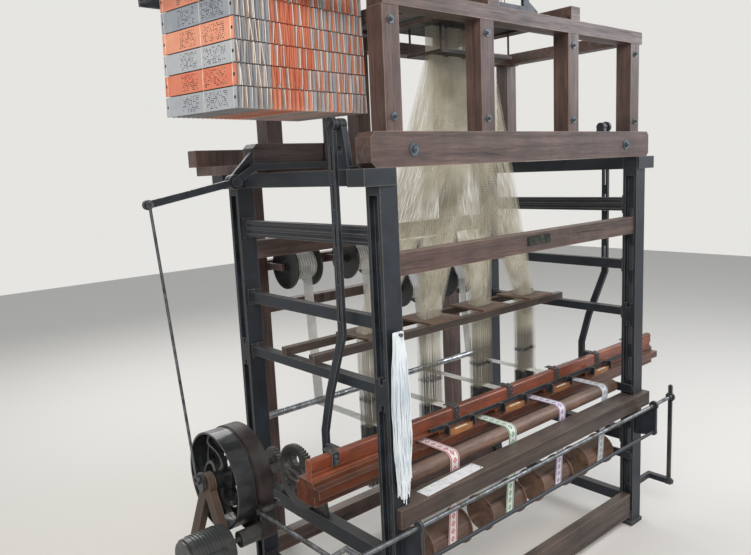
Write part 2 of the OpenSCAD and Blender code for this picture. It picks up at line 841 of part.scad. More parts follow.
// A run of cards as one outline: full thickness on each card, thin where they are laced
function card_side(a, b, n, side) = let (v = b - a, u = v / norm(v), m = [u.y, -u.x] * card_t / 2 * side)
    [for (i = [0:n - 1]) for (e = [0, 1, 2]) e < 2
        ? a + v * (i + (e == 0 ? 0.06 : 0.94)) / n + m
        : a + v * (i + 1) / n + m * 0.35];

module card_run(a, b, n) {
    there = card_side(a, b, n, 1);
    back = card_side(a, b, n, -1);
    count = len(there);
    polygon(concat(there, [for (i = [count - 1:-1:0]) back[i]]));
}

// Cards on their way from the pack, over the cylinder, and back to the pack's near end
module card_chain() {
    r = cylinder_side / 2 + card_t / 2 + gap;
    reach = cylinder_side / 2 + 4;
    top = [cylinder_x - reach, cylinder_z + r];
    low = [cylinder_x - reach, cylinder_z - r];
    rest_z = pack_top + 2 * wire_r + 6;
    far = [pack_x - pack_w / 2 + 20, rest_z];
    near = [pack_x + pack_w / 2 - 39, rest_z];
    color("#a9a39b") placed() plate_y(head_y - card_l / 2, head_y + card_l / 2) {
        card_run(far, top, round(norm(top - far) / card_pitch));
        for (p = [top, low]) translate([p.x - 4, p.y - card_t / 2]) square([r + reach + 4 + card_t / 2, card_t]);
        translate([cylinder_x + r - card_t / 2, low.y - card_t / 2]) square([card_t, 2 * r + card_t]);
        card_run(low, near, round(norm(low - near) / card_pitch));
    }
}

// Two steel rails with cross wires, from which the folded cards hang
module card_cradle() {
    y0 = head_y - pack_reach - 3 - cradle_rail_t;
    y1 = head_y + pack_reach + 3;
    left = pack_x - pack_w / 2 - 60;
    step = pack_w * 2 / card_runs;
    wire_half = (y1 + cradle_rail_t - head_y + pack_w / 2 * sin(pack_turn)) / cos(pack_turn) + 4;
    color("#3a3d42") placed() {
        for (y = [y0, y1]) {
            bar([left, y, gantry_z3], [-head_w / 2 - bearer_w, y + cradle_rail_t, pack_top]);
        }
        translate([pack_x, head_y, 0]) rotate(pack_turn) for (k = [0:card_runs / 2 - 1]) {
            x = (k + 0.5) * step - pack_w / 2;
            ycyl(-wire_half, wire_half, x, pack_top + run + wire_r, wire_r);
        }
        for (x = [left + 10, -head_w / 2 - 120]) ycyl(y0 + cradle_rail_t + run, y1 - run, x, gantry_z3 + 14, 7);
    }
}

// The folded pack of laced cards, each run hanging between two wires. One side of the
// zigzag is the inside of every other turn, where a single point closes the fold.
function run_points(k, side) = let (
        step = pack_w / card_runs,
        up = k % 2 == 0,
        n = cards_per_run,
        deep = n * card_pitch,
        x0 = -pack_w / 2 + k * step,
        a = [x0, up ? -deep : 0],
        b = [x0 + step, up ? 0 : -deep],
        way = side * (up ? 1 : -1),
        inner_end = side > 0)
    [for (i = [0:n - 1]) for (e = [0, 1, 2])
        let (f = (i + (e == 0 ? 0.05 : e == 1 ? 0.95 : 1)) / n,
             bow = 3 * sin(180 * f) * sin(k * 137),
             t = e == 2 ? card_t * 0.2 : card_t / 2)
        if (!(i == n - 1 && e == 2) && !(inner_end == up && i == n - 1 && e == 1)
            && !(inner_end != up && i == 0 && e == 0))
            a + (b - a) * f + [way * t + bow, 0]];

function turn_point(k, side) = let (
        step = pack_w / card_runs,
        up = k % 2 == 0,
        inner = (side > 0) == up,
        deep = cards_per_run * card_pitch,
        x = -pack_w / 2 + (k + 1) * step)
    inner ? [x, up ? -66 : 66 - deep] : [x, up ? card_t / 2 : -deep - card_t / 2];

function pack_points(side) = [for (k = [0:card_runs - 1]) each concat(
    run_points(k, side), k < card_runs - 1 ? [turn_point(k, side)] : [])];

module card_pack() {
    right = pack_points(1);
    left = pack_points(-1);
    color("#c98a70") placed() translate([pack_x, head_y, pack_top - card_t / 2]) rotate(pack_turn) {
        plate_y(-card_l / 2, card_l / 2) {
            polygon(concat(right, [for (i = [len(left) - 1:-1:0]) left[i]]));
        }
    }
}

// The lift lever rocks on its bracket, pulled by the lift rod
module lift_lever() {
    y0 = lever_y - lever_t / 2;
    y1 = lever_y + lever_t / 2;
    color("#3b4046") placed() {
        difference() {
            plate_y(y0, y1) {
                flat_bar(lever_out, lever_pivot, lever_w);
                flat_bar(lever_pivot, lever_knee, lever_w);
                flat_bar(lever_knee, lever_in, lever_w);
                translate(lever_out) circle(r = 23);
                translate(lever_pivot) circle(r = 38);
                translate(lever_knee) circle(r = 21);
                translate(lever_in) circle(r = 24);
            }
            ycyl(y0 - 1, y1 + 1, lever_pivot.x, lever_pivot.y, 14 + run);
        }
        ycyl(y0 - 18, y0 + 1, lever_out.x, lever_out.y, 8);
    }
}

// Thin bright rod from the lever down to the crank at the end of the drive shaft
module lift_rod() {
    y_top = lever_y - lever_t / 2 - 9;
    top = [lever_out.x, y_top, lever_out.y];
    low = [-lift_eye_x - 7, drive_y, drive_z + lift_throw];
    u = (low - top) / norm(low - top);
    color("#c4c8cc") placed() difference() {
        union() {
            rod(top + u * 14, low - u * 20, 7);
            ycyl(y_top - 6, y_top + 6, top.x, top.z, 18);
            xcyl(-lift_eye_x - 14, -lift_eye_x, low.y, low.z, 26);
        }
        ycyl(y_top - 8, y_top + 8, top.x, top.z, 8 + run);
        xcyl(-lift_eye_x - 15, -lift_eye_x - 8, low.y, low.z, 13);
    }
}

// Brackets of the batten's two pivots and of the lift lever
module pivot_brackets() {
    base_t = 12;
    color("#2d3239") placed() {
        both_sides() difference() {
            union() {
                bar([rail_x - rail_w / 2, batten_pivot_y - 60, frame_h],
                    [rail_x + rail_w / 2, batten_pivot_y + 60, frame_h + base_t]);
                plate_x(rail_x, rail_x + rail_w / 2) {
                    polygon([
                        [batten_pivot_y - 55, frame_h + base_t], [batten_pivot_y + 55, frame_h + base_t],
                        [batten_pivot_y + 24, batten_pivot_z], [batten_pivot_y - 24, batten_pivot_z]
                    ]);
                    translate([batten_pivot_y, batten_pivot_z]) circle(r = 28);
                }
                xcyl(rail_x, sword_x - 2, batten_pivot_y, batten_pivot_z, 24);
                xcyl(rail_x, sword_x + sword_t + 12, batten_pivot_y, batten_pivot_z, 12);
            }
            plate_x(rail_x - 1, rail_x + rail_w / 2 + 1) {
                translate([batten_pivot_y, (frame_h + batten_pivot_z) / 2 - 12]) circle(r = 20);
            }
        }
        bar([-gantry_reach - 14, rear_gantry_y, gantry_z0 + 22], [-gantry_reach, rear_gantry_y + 60, gantry_z1 - 22]);
        plate_y(rear_gantry_y, rear_gantry_y + 20) {
            polygon([
                [-gantry_reach - 10, gantry_z0 + 30], [-gantry_reach - 10, gantry_z0 + 110],
                lever_pivot + [-22, 14], lever_pivot + [14, -24]
            ]);
            translate(lever_pivot) circle(r = 36);
        }
        ycyl(lever_y - lever_t / 2 - 6, rear_gantry_y + 2, lever_pivot.x, lever_pivot.y, 14);
        ycyl(lever_y + lever_t / 2 + 1, rear_gantry_y + 2, lever_pivot.x, lever_pivot.y, 30);
        ycyl(lever_y - lever_t / 2 - 10, lever_y - lever_t / 2 - 2, lever_pivot.x, lever_pivot.y, 24);
    }
}

// Batten swords: straight at the top, swept back in a swan neck, with slots along them
sword_line = [
    [batten_pivot_y, batten_pivot_z], [batten_pivot_y, 1660], [batten_pivot_y + 120, 1350],
    [sword_low_y, 1150], [sword_low_y, sword_pin_z]
];

module sword() {
    difference() {
        plate_x(sword_x, sword_x + sword_t) difference() {
            union() {
                for (i = [0:len(sword_line) - 2]) strap(sword_line[i], sword_line[i + 1], sword_w);
                translate(sword_line[0]) circle(r = 34);
                translate(sword_line[4]) circle(r = 30);
            }
            for (z = [1720:170:2460]) translate([batten_pivot_y - 7, z]) square([14, 110]);
        }
        xcyl(sword_x - 1, sword_x + sword_t + 1, batten_pivot_y, batten_pivot_z, 12 + run);
    }
    xcyl(sword_x + 5, arm_x + arm_t + 4, sword_low_y, sword_pin_z, sword_pin_r);
    bar([sword_x - 4, rail_front + hand_rail_d, hand_rail_z + 10],
        [sword_x + sword_t + 4, race_back, hand_rail_z + hand_rail_h - 10]);
    bar([sword_x - 4, race_back - 0.01, hand_rail_z + 10],
        [sword_x + sword_t + 4, race_back + 8, hand_rail_z + hand_rail_h - 10]);
}

module batten_swords() {
    color("#23282f") placed() both_sides() sword();
}

rake_z = hand_rail_z + 12;
rake_h = 22;

// Polished upper rail of the batten, grooved for the shuttle rake
module batten_hand_rail() {
    round_r = 12;
    color("#9a4a28") placed() difference() {
        plate_x(-batten_left, batten_right) {
            translate([rail_front, hand_rail_z]) square([hand_rail_d, hand_rail_h - round_r]);
            translate([rail_front + round_r, hand_rail_z]) square([hand_rail_d - 2 * round_r, hand_rail_h]);
            for (y = [rail_front + round_r, rail_front + hand_rail_d - round_r]) {
                translate([y, hand_rail_z + hand_rail_h - round_r]) circle(r = round_r);
            }
        }
        bar([-batten_left - 1, rail_front - 1, rake_z - gap],
            [batten_right + 1, rail_front + 8, rake_z + rake_h + gap]);
    }
}

// Lower rail with the blocks between the ribbons, on which the shuttles run
module batten_race() {
    half = 90;
    edges = concat([-batten_left], [for (x = ribbon_x) each [x - half, x + half]], [batten_right]);
    color("#5d3a2a") placed() {
        bar([-batten_left, race_front, race_z - 90], [batten_right, race_back, race_z]);
        bar([-batten_left, ledge_front, race_z - 40], [batten_right, race_front, race_z]);
        for (i = [0:2:len(edges) - 2]) {
            bar([edges[i], race_front, race_z], [edges[i + 1], race_back - 24, hand_rail_z]);
            bar([edges[i], ledge_front, race_z], [edges[i + 1], race_front, shuttle_z - gap]);
        }
    }
}

// Reeds: thin dents with gaps that the warp strands pass through
module reeds() {
    half = 75;
    h = 86;
    color("#8f9499") placed() for (x = ribbon_x) {
        bar([x - half, reed_y, race_z], [x + half, reed_y + 10, race_z + 1.2]);
        bar([x - half, reed_y, race_z + h - 8], [x + half, reed_y + 10, race_z + h]);
        n = strands + 4;
        for (k = [0:n]) {
            dx = (k - n / 2) * dent_pitch;
            bar([x + dx - dent_w / 2, reed_y + 2, race_z], [x + dx + dent_w / 2, reed_y + 8, race_z + h]);
        }
        for (s = [-1, 1]) {
            x0 = s > 0 ? x + half - 12 : x - half;
            bar([x0, reed_y, race_z], [x0 + 12, reed_y + 10, race_z + h]);
        }
    }
}

// Places of the shuttles at rest, half way between ribbons
shuttle_x = [for (x = ribbon_x) x + ribbon_pitch / 2];

// The rake: one bar in the hand rail's groove, with two drivers at each shuttle
module shuttle_rake() {
    driver_t = 8;
    bar_left = shuttle_x[0] - shuttle_l / 2 - 110;
    bar_right = shuttle_x[ribbons - 1] + shuttle_l / 2 + 340;
    color("#1c1f22") placed() {
        bar([bar_left, rail_front - 8, rake_z], [bar_right, rail_front + 8 - gap, rake_z + rake_h]);
        for (x = shuttle_x) for (s = [-1, 1]) {
            dx = x + s * (shuttle_l / 2 + driver_t / 2);
            bar([dx - driver_t / 2, ledge_front + 4, shuttle_z + 8],
                [dx + driver_t / 2, race_front - 1, rake_z + rake_h]);
            bar([dx - 15, rail_front - 20, rake_z + 2], [dx + 15, rail_front - 7, rake_z + rake_h - 2]);
        }
    }
}

// Boat shuttles: pointed hulls with a well, and a cop of cream yarn in it
module shuttle() {
    bow_r = 320;
    half_w = 19;
    well = shuttle_l * 0.27;
    bulge = sqrt(pow(bow_r, 2) - pow(shuttle_l / 2, 2));
    difference() {
        translate([0, shuttle_y, shuttle_z]) linear_extrude(26) intersection() {
            translate([0, bulge - 1]) circle(r = bow_r, $fn = 128);
            translate([0, -bulge + 1]) circle(r = bow_r, $fn = 128);
            square([shuttle_l, 2 * half_w], center = true);
        }
        bar([-well, shuttle_y - 10, shuttle_z + 8], [well, shuttle_y + 10, shuttle_z + 27]);
    }
    xcyl(-well + 2, well - 2, shuttle_y, shuttle_z + 17, 9);
    xcyl(-well - 1, well + 1, shuttle_y, shuttle_z + 17, 3);
}

module shuttles() {
    color("#a8693c") placed() for (x = shuttle_x) translate([x, 0, 0]) shuttle();
}

// Involute gear outline with its first tooth on the angle turn
function involute(base, r) = let (a = acos(base / r)) tan(a) * 180 / PI - a;

module gear_outline(teeth, turn) {
    pitch_r = gear_module * teeth / 2;
    base = pitch_r * cos(20);
    root = pitch_r - 1.2 * gear_module;
    tip = pitch_r + 0.92 * gear_module;
    start = max(base, root);
    half = 360 / teeth * 0.235 + involute(base, pitch_r);
    steps = 4;
    points = [for (i = [0:teeth - 1]) let (a = turn + i * 360 / teeth) each concat(
        [[root, a - half + involute(base, start)]],
        [for (k = [0:steps]) let (r = start + (tip - start) * k / steps) [r, a - half + involute(base, r)]],
        [for (k = [steps:-1:0]) let (r = start + (tip - start) * k / steps) [r, a + half - involute(base, r)]],
        [[root, a + half - involute(base, start)]]
    )];
    polygon([for (p = points) p[0] * [cos(p[1]), sin(p[1])]]);
}

// Drive shaft with its pinion and, at its outer end, the lift crank
module drive_shaft() {
    color("#55595e") placed() {
        xcyl(-lift_disc_x, -rail_x + 20, drive_y, drive_z, drive_r);
        translate([0, drive_y, drive_z]) plate_x(-gear_x - gear_w, -gear_x) {
            gear_outline(pinion_teeth, mesh_angle + 180 + 180 / pinion_teeth);
        }
        plate_x(-lift_disc_x - lift_disc_t, -lift_disc_x) {
            strap([drive_y, drive_z], [drive_y, drive_z + lift_throw], 60);
        }
        xcyl(-lift_eye_x + 1.5, -lift_disc_x - lift_disc_t, drive_y, drive_z + lift_throw, 12);
        xcyl(-rail_x + 20, -rail_x + 28, drive_y, drive_z, drive_r + 10);
    }
}

// Pulley with five spokes curved like an S
function spoke_point(t, side, r0, r1) = let (
        r = r0 + (r1 - r0) * t,
        a = 26 * sin(360 * t) - 10 * t,
        w = 11 + 5 * pow(1 - t, 2))
    [r * cos(a) - side * w * sin(a), r * sin(a) + side * w * cos(a)];

module pulley(x0, bore) {
    rim = 10;
    r0 = 38;
    r1 = pulley_r - rim + 2;
    n = 10;
    difference() {
        union() {
            plate_x(x0, x0 + pulley_w) difference() {
                circle(r = pulley_r, $fn = 96);
                circle(r = pulley_r - rim, $fn = 96);
            }
            plate_x(x0, x0 + pulley_w) circle(r = 46);
            plate_x(x0 + pulley_w / 2 - 13, x0 + pulley_w / 2 + 13) for (i = [0:4]) rotate(i * 72 + 20) {
                polygon(concat([for (k = [0:n]) spoke_point(k / n, 1, r0, r1)],
                               [for (k = [n:-1:0]) spoke_point(k / n, -1, r0, r1)]));
            }
        }
        plate_x(x0 - 1, x0 + pulley_w + 1) circle(r = bore);
    }
}

module fast_pulley() {
    color("#15181a") placed() translate([0, drive_y, drive_z]) pulley(-fast_x - pulley_w, drive_r);
}

module loose_pulley() {
    color("#2b2522") placed() translate([0, drive_y, drive_z]) pulley(-loose_x - pulley_w, drive_r + run);
}

// Crankshaft below the warp: its gear on the left, and an overhung crank at each end
module crankshaft() {
    u = [cos(arm_angle), sin(arm_angle)];
    c = [crank_y, crank_z];
    pin = c + u * crank_throw;
    gear_r = gear_module * gear_teeth / 2;
    color("#4a4e53") placed() {
        xcyl(-crank_disc_x, crank_disc_x, crank_y, crank_z, crankshaft_r);
        translate([0, crank_y, crank_z]) plate_x(-gear_x - gear_w, -gear_x) difference() {
            gear_outline(gear_teeth, mesh_angle);
            for (i = [0:5]) rotate(i * 60 + 30) translate([gear_r * 0.58, 0]) circle(r = gear_r * 0.19);
        }
        both_sides() {
            plate_x(crank_disc_x, crank_disc_x + crank_disc_t) strap(c - u * 14, pin, 72);
            xcyl(crank_disc_x + crank_disc_t, arm_x - 1.5, pin.x, pin.y, 14);
        }
    }
}

// Arms from the batten's studs to the cranks
module crank_arms() {
    u = [cos(arm_angle), sin(arm_angle)];
    near = [sword_low_y, sword_pin_z];
    far = [crank_y, crank_z] + u * crank_throw;
    color("#3b4046") placed() both_sides() difference() {
        plate_x(arm_x, arm_x + arm_t) difference() {
            union() {
                strap(near, far, 30);
                translate(near) circle(r = 26);
                translate(far) circle(r = 32);
            }
            translate(near) circle(r = sword_pin_r + run);
        }
        xcyl(arm_x + 8, arm_x + arm_t + 1, far.x, far.y, 14);
    }
}

// Bearing plates on the side rails, for the crankshaft and the drive shaft
module shaft_brackets() {
    t = 26;
    base = shaft_rail_z + 80;
    color("#33383e") placed() {
        both_sides() difference() {
            plate_x(rail_x - t / 2, rail_x + t / 2) {
                polygon([[crank_y - 90, base], [crank_y + 90, base], [crank_y + 40, crank_z], [crank_y - 40, crank_z]]);
                translate([crank_y, crank_z]) circle(r = 44);
            }
            xcyl(rail_x - t, rail_x + t, crank_y, crank_z, crankshaft_r + run);
        }
        difference() {
            plate_x(-rail_x - t / 2, -rail_x + t / 2) {
                polygon([[drive_y - 60, base], [drive_y + 90, base], [drive_y + 42, drive_z], [drive_y - 42, drive_z]]);
                translate([drive_y, drive_z]) circle(r = 46);
            }
            xcyl(-rail_x - t, -rail_x + t, drive_y, drive_z, drive_r + run);
        }
    }
}

// Outboard stand of the drive shaft: two spread legs, a tie and a bearing
module outboard_stand() {
    spread = 450;
    leg_w = 60;
    color("#3a332f") placed() difference() {
        plate_x(-stand_x - stand_t, -stand_x) difference() {
            union() {
                for (s = [-1, 1]) strap([drive_y, drive_z], [drive_y + s * spread, 20], leg_w);
                strap([drive_y - spread * 0.62, drive_z * 0.4], [drive_y + spread * 0.62, drive_z * 0.4], 46);
                translate([drive_y, drive_z]) circle(r = 56);
                for (s = [-1, 1]) translate([drive_y + s * spread - 70, 0]) square([140, 24]);
            }
            translate([-2000, -200]) square([4000, 200]);
        }
        xcyl(-stand_x - stand_t - 1, -stand_x + 1, drive_y, drive_z, drive_r + run);
    }
}

// Motor: ribbed body, end bells, feet and a terminal box
module motor() {
    x1 = -motor_x0;
    x0 = x1 - motor_l;
    shelf = motor_z - motor_r - 22;
    color("#5f6468") placed() {
        difference() {
            union() {
                xcyl(x0 + 12, x1 - 12, motor_y, motor_z, motor_r - 4);
                for (k = [0:8]) xcyl(x0 + 40 + k * 16, x0 + 46 + k * 16, motor_y, motor_z, motor_r);
                for (x = [x0, x1 - 24]) xcyl(x, x + 24, motor_y, motor_z, motor_r - 12);
                bar([x0 + 34, motor_y - 90, shelf + 8], [x1 - 34, motor_y + 90, motor_z - 50]);
                bar([x0 + 60, motor_y - motor_r - 36, motor_z - 20], [x1 - 60, motor_y - motor_r + 30, motor_z + 50]);
            }
            xcyl(x1 - 20, x1 + 1, motor_y, motor_z, 12 + run);
        }
    }
}

// Timber trestle under the motor
module motor_stand() {
    x1 = -motor_x0;
    x0 = x1 - motor_l;
    shelf = motor_z - motor_r - 22;
    color("#5a4638") placed() {
        bar([x0, motor_y - 120, shelf - 22], [x1, motor_y + 120, shelf + 8]);
        for (x = [x0 + 10, x1 - 50]) plate_x(x, x + 40) {
            for (s = [-1, 1]) polygon([
                [motor_y + s * 60, shelf - 22], [motor_y + s * 115, shelf - 22],
                [motor_y + s * 165, 0], [motor_y + s * 110, 0]
            ]);
            translate([motor_y - 130, 170]) square([260, 50]);
        }
    }
}

module motor_pulley() {
    color("#484c50") placed() {
        xcyl(-motor_x0 - 18, -loose_x + 4, motor_y, motor_z, 12);
        xcyl(-fast_x - pulley_w, -loose_x, motor_y, motor_z, motor_pulley_r);
    }
}

// Belt outline: round the large pulley and the motor's pulley, touching neither
module belt_loop(extra) {
    c = [motor_y - drive_y, motor_z - drive_z];
    big = pulley_r + gap + extra;
    small = motor_pulley_r + gap + extra;
    base = atan2(c.y, c.x);
    open = acos((big - small) / norm(c));
    circle(r = big, $fn = 96);
    translate(c) circle(r = small);
    polygon([
        big * [cos(base + open), sin(base + open)], big * [cos(base - open), sin(base - open)],
        c + small * [cos(base - open), sin(base - open)], c + small * [cos(base + open), sin(base + open)]
    ]);
}

module drive_belt() {
    x0 = -loose_x - pulley_w + (pulley_w - belt_w) / 2;
    color("#5b4438") placed() translate([0, drive_y, drive_z]) plate_x(x0, x0 + belt_w) difference() {
        belt_loop(belt_t);
        belt_loop(0);
    }
}

// Starting rod across the front, bent back on the left to the belt fork
fork_y = drive_y - pulley_r - 44;
fork_z = 800;
rod_left = -1390;
rod_back = -1440;
rod_right = lever_x + 30;

module starting_rod() {
    belt_x0 = -loose_x - pulley_w + (pulley_w - belt_w) / 2;
    path = [
        [rod_right, rod_y, rod_z], [rod_left, rod_y, rod_z], [rod_left, rod_y + 95, rod_z],
        [rod_back, rod_y + 135, fork_z], [rod_back, fork_y, fork_z]
    ];
    color("#a7abae") placed() {
        for (i = [0:len(path) - 2]) rod(path[i], path[i + 1], rod_r);
        for (i = [1:len(path) - 2]) translate(path[i]) sphere(r = rod_r + 1.5);
        bar([rod_back - rod_r, fork_y - 8, fork_z - 12], [belt_x0 + belt_w + 14, fork_y + 8, fork_z + 12]);
        for (x = [belt_x0 - 14, belt_x0 + belt_w + 4]) {
            bar([x, fork_y - 8, fork_z - 12], [x + 10, drive_y - pulley_r, fork_z + 12]);
        }
        for (s = [-1, 1]) {
            xcyl(lever_x + s * 19 - 5, lever_x + s * 19 + 5, rod_y, rod_z, 20);
        }
    }
}

// Upright lever at the right end, pivoted near the floor and hooked on the rod
module rod_lever() {
    t = 12;
    color("#70695f") placed() difference() {
        union() {
            plate_x(lever_x - t / 2, lever_x + t / 2) {
                strap([rod_y, lever_foot_z], [rod_y, rod_z + 70], 26);
                translate([rod_y, rod_z]) circle(r = 30);
            }
            ycyl(rod_y - 14, rod_y + 14, lever_x, lever_foot_z, 24);
        }
        ycyl(rod_y - 15, rod_y + 15, lever_x, lever_foot_z, 10 + run);
        plate_x(lever_x - t, lever_x + t) {
            strap([rod_y, rod_z - 6], [rod_y, rod_z + 10], 2 * rod_r + 4);
        }
    }
}

// Arms on the front posts: they guide the starting rod, hold the guard rod, and on the
// right carry the foot of the lever
module front_arms() {
    t = 16;
    color("#2d3239") placed() {
        both_sides() difference() {
            plate_x(rail_x - t / 2, rail_x + t / 2) {
                polygon([
                    [y_front, guard_z - 40], [y_front, guard_z + 110], [y_front - 40, guard_z + 110],
                    [rod_y + 22, rod_z - 10], [rod_y - 20, rod_z - 10], [rod_y - 20, guard_z],
                    [rod_y, guard_z - 18]
                ]);
                translate([rod_y, rod_z]) circle(r = 28);
                translate([rod_y, guard_z]) circle(r = 22);
            }
            xcyl(rail_x - t, rail_x + t, rod_y, rod_z, rod_r + run);
        }
        xcyl(-rail_x + t / 2, rail_x - t / 2, rod_y, guard_z, 10);
        bar([x_out - channel_depth, y_front + 20, lever_foot_z - 18], [lever_x + 22, y_front + 44, lever_foot_z + 18]);
        bar([lever_x - 12, rod_y + 18, lever_foot_z - 18], [lever_x + 22, y_front + 44, lever_foot_z + 18]);
        ycyl(rod_y - 18, rod_y + 20, lever_x, lever_foot_z, 10);
        ycyl(rod_y - 26, rod_y - 16, lever_x, lever_foot_z, 17);
        plate_x(-x_in, -x_in + 12) strap([y_front + 30, pawl_z], [pawl_y, pawl_z], 30);
        xcyl(-x_in, -x_in + 56, pawl_y, pawl_z, 7);
        both_sides() for (p = [[roller_y, roller_z], [drum_y, drum_z]]) difference() {
            plate_x(x_in - 12, x_in) {
                strap([y_front + 30, p.y], p, 52);
            }
            xcyl(x_in - 13, x_in + 1, p.x, p.y, journal_r + run);
        }
    }
}

module breast_roller() {
    end = x_in - 16;
    color("#b98d6a") placed() {
        xcyl(-end, end, roller_y, roller_z, roller_r);
        xcyl(-x_in + 1, x_in - 1, roller_y, roller_z, journal_r);
    }
}

// Take-up drums on one shaft, each between two black flanges, with a ratchet wheel
module take_up_drums() {
    teeth = 24;
    color("#5a4a44") placed() {
        xcyl(-x_in + 1, x_in - 1, drum_y, drum_z, journal_r);
        for (x = ribbon_x) {
            xcyl(x - drum_l / 2, x + drum_l / 2, drum_y, drum_z, drum_r);
            for (s = [-1, 1]) {
                e = x + s * (drum_l / 2 + 4);
                xcyl(e - 4, e + 4, drum_y, drum_z, drum_r + 12);
            }
        }
        translate([0, drum_y, drum_z]) plate_x(-x_in + 40, -x_in + 52) polygon([
            for (i = [0:teeth - 1]) each [
                56 * [cos(i * 360 / teeth), sin(i * 360 / teeth)],
                66 * [cos((i + 0.92) * 360 / teeth), sin((i + 0.92) * 360 / teeth)]
            ]
        ]);
    }
}

// Pawl that rests in the ratchet wheel's teeth, on a pin in the left roller arm
pawl_y = drum_y - 30;
pawl_z = drum_z + 105;

module take_up_pawl() {
    color("#6d7075") placed() difference() {
        plate_x(-x_in + 38, -x_in + 54) {
            strap([pawl_y, pawl_z], [drum_y - 4, drum_z + 76], 14);
            translate([pawl_y, pawl_z]) circle(r = 15);
        }
        xcyl(-x_in + 37, -x_in + 55, pawl_y, pawl_z, 7 + run);
    }
}

// A hank of white yarn hung on the front left post
module yarn_hank() {
    top = 1690;
    low = plank_top + 12;
    x = -rail_x - 4;
    y = y_front - 26;
    widths = [[-34, 12], [-19, 17], [0, 20], [18, 18], [34, 13]];
    color("#dfe8f0") placed() {
        for (w = widths) {
            zcyl(low + abs(w[0]) * 1.5, top - abs(w[0]), x + w[0], y, w[1]);
            translate([x + w[0], y, top - abs(w[0])]) sphere(r = w[1]);
        }
        ycyl(y_front - 50, y_front, x, top + 8, 6);
    }
}

front_left_post();
front_right_post();
rear_posts();
left_side_rails();
right_side_rails();
cross_beams();
breast_plank();
low_plank();
gantry_lower_beams();
gantry_posts();
gantry_top_beams();
frame_bolts();
creel_frame();
warp_bobbin_1();
warp_bobbin_2();
warp_bobbin_3();
warp_bobbin_4();
back_bar();
warp_sheets();
woven_ribbons();
comber_rails();
comber_boards();
harness_cords();
harness_weights();
guide_board();
head_frame();
hook_box();
griffe();
cylinder_slide();
card_cylinder();
card_chain();
card_cradle();
card_pack();
lift_lever();
lift_rod();
pivot_brackets();
batten_swords();
batten_hand_rail();
batten_race();
reeds();
shuttle_rake();
shuttles();
drive_shaft();
fast_pulley();
loose_pulley();
crankshaft();
crank_arms();
shaft_brackets();
outboard_stand();
motor();
motor_stand();
motor_pulley();
drive_belt();
starting_rod();
rod_lever();
front_arms();
breast_roller();
take_up_drums();
take_up_pawl();
yarn_hank();
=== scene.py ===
import math
import random

import bmesh
import bpy
from mathutils import Matrix, Vector


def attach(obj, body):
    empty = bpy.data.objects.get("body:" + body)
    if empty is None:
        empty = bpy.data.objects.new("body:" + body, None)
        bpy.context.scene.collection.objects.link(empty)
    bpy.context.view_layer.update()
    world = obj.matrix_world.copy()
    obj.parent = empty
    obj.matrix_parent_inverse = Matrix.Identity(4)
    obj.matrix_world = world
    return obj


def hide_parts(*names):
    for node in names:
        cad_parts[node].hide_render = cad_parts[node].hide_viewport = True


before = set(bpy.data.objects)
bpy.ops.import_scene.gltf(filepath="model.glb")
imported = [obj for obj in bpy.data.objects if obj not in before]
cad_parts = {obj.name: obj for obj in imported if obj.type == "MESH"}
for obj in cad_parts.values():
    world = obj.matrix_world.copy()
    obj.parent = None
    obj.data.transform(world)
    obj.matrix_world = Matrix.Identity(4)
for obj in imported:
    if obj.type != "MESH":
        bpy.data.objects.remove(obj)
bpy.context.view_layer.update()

bpy.context.scene.view_settings.view_transform = "Standard"


# Camera
# The photograph was taken from the loom's left front, 2.4 m above the floor, with a
# fairly wide lens. Its turn, tilt and roll were solved from the loom's straight edges.
EYE = Vector((-3.010, -2.905, 2.400))
TURN = math.radians(40.815)
TILT = math.radians(8.918)
ROLL = math.radians(-2.610)
SENSOR_MM = 36.0
PICTURE_PX = 751
FOCAL_PX = 690.87

lens = bpy.data.cameras.new("photo_lens")
lens.sensor_fit = "HORIZONTAL"
lens.sensor_width = SENSOR_MM
lens.lens = FOCAL_PX / PICTURE_PX * SENSOR_MM
lens.clip_end = 60.0
camera = bpy.data.objects.new("photo_camera", lens)
bpy.context.scene.collection.objects.link(camera)
look = Matrix.Rotation(-TURN, 4, "Z") @ Matrix.Rotation(math.pi / 2 - TILT, 4, "X")
camera.matrix_world = Matrix.Translation(EYE) @ look @ Matrix.Rotation(ROLL, 4, "Z")
bpy.context.scene.camera = camera


# Floor and studio
# A plain pale floor that runs out of the picture, with a pale surround. It isn't part
# of the loom.
FLOOR_HALF = 14.0


def linear(hex_colour):
    """sRGB hex to the linear values that Blender's shaders use."""
    out = []
    for start in (1, 3, 5):
        c = int(hex_colour[start:start + 2], 16) / 255
        out.append(c / 12.92 if c <= 0.04045 else ((c + 0.055) / 1.055) ** 2.4)
    return (*out, 1.0)


def add(tree, kind, links=None, **settings):
    """Adds one node, sets its properties and sockets, and links it from other nodes."""
    node = tree.nodes.new(kind)
    for name, value in settings.items():
        setattr(node, name, value)
    for socket, source in (links or {}).items():
        if isinstance(source, bpy.types.NodeSocket):
            tree.links.new(source, node.inputs[socket])
        else:
            node.inputs[socket].default_value = source
    return node


def maths(tree, operation, *values):
    node = add(tree, "ShaderNodeMath", dict(enumerate(values)), operation=operation)
    return node.outputs[0]


def material(name):
    made = bpy.data.materials.new(name)
    made.use_nodes = True
    made.node_tree.nodes.clear()
    return made, made.node_tree


def surface(tree, colour, roughness, more=None):
    """Adds the surface shader and the material's output; more sets other sockets."""
    sockets = {"Base Color": colour, "Roughness": roughness, **(more or {})}
    shader = add(tree, "ShaderNodeBsdfPrincipled", sockets)
    add(tree, "ShaderNodeOutputMaterial", {"Surface": shader.outputs[0]})


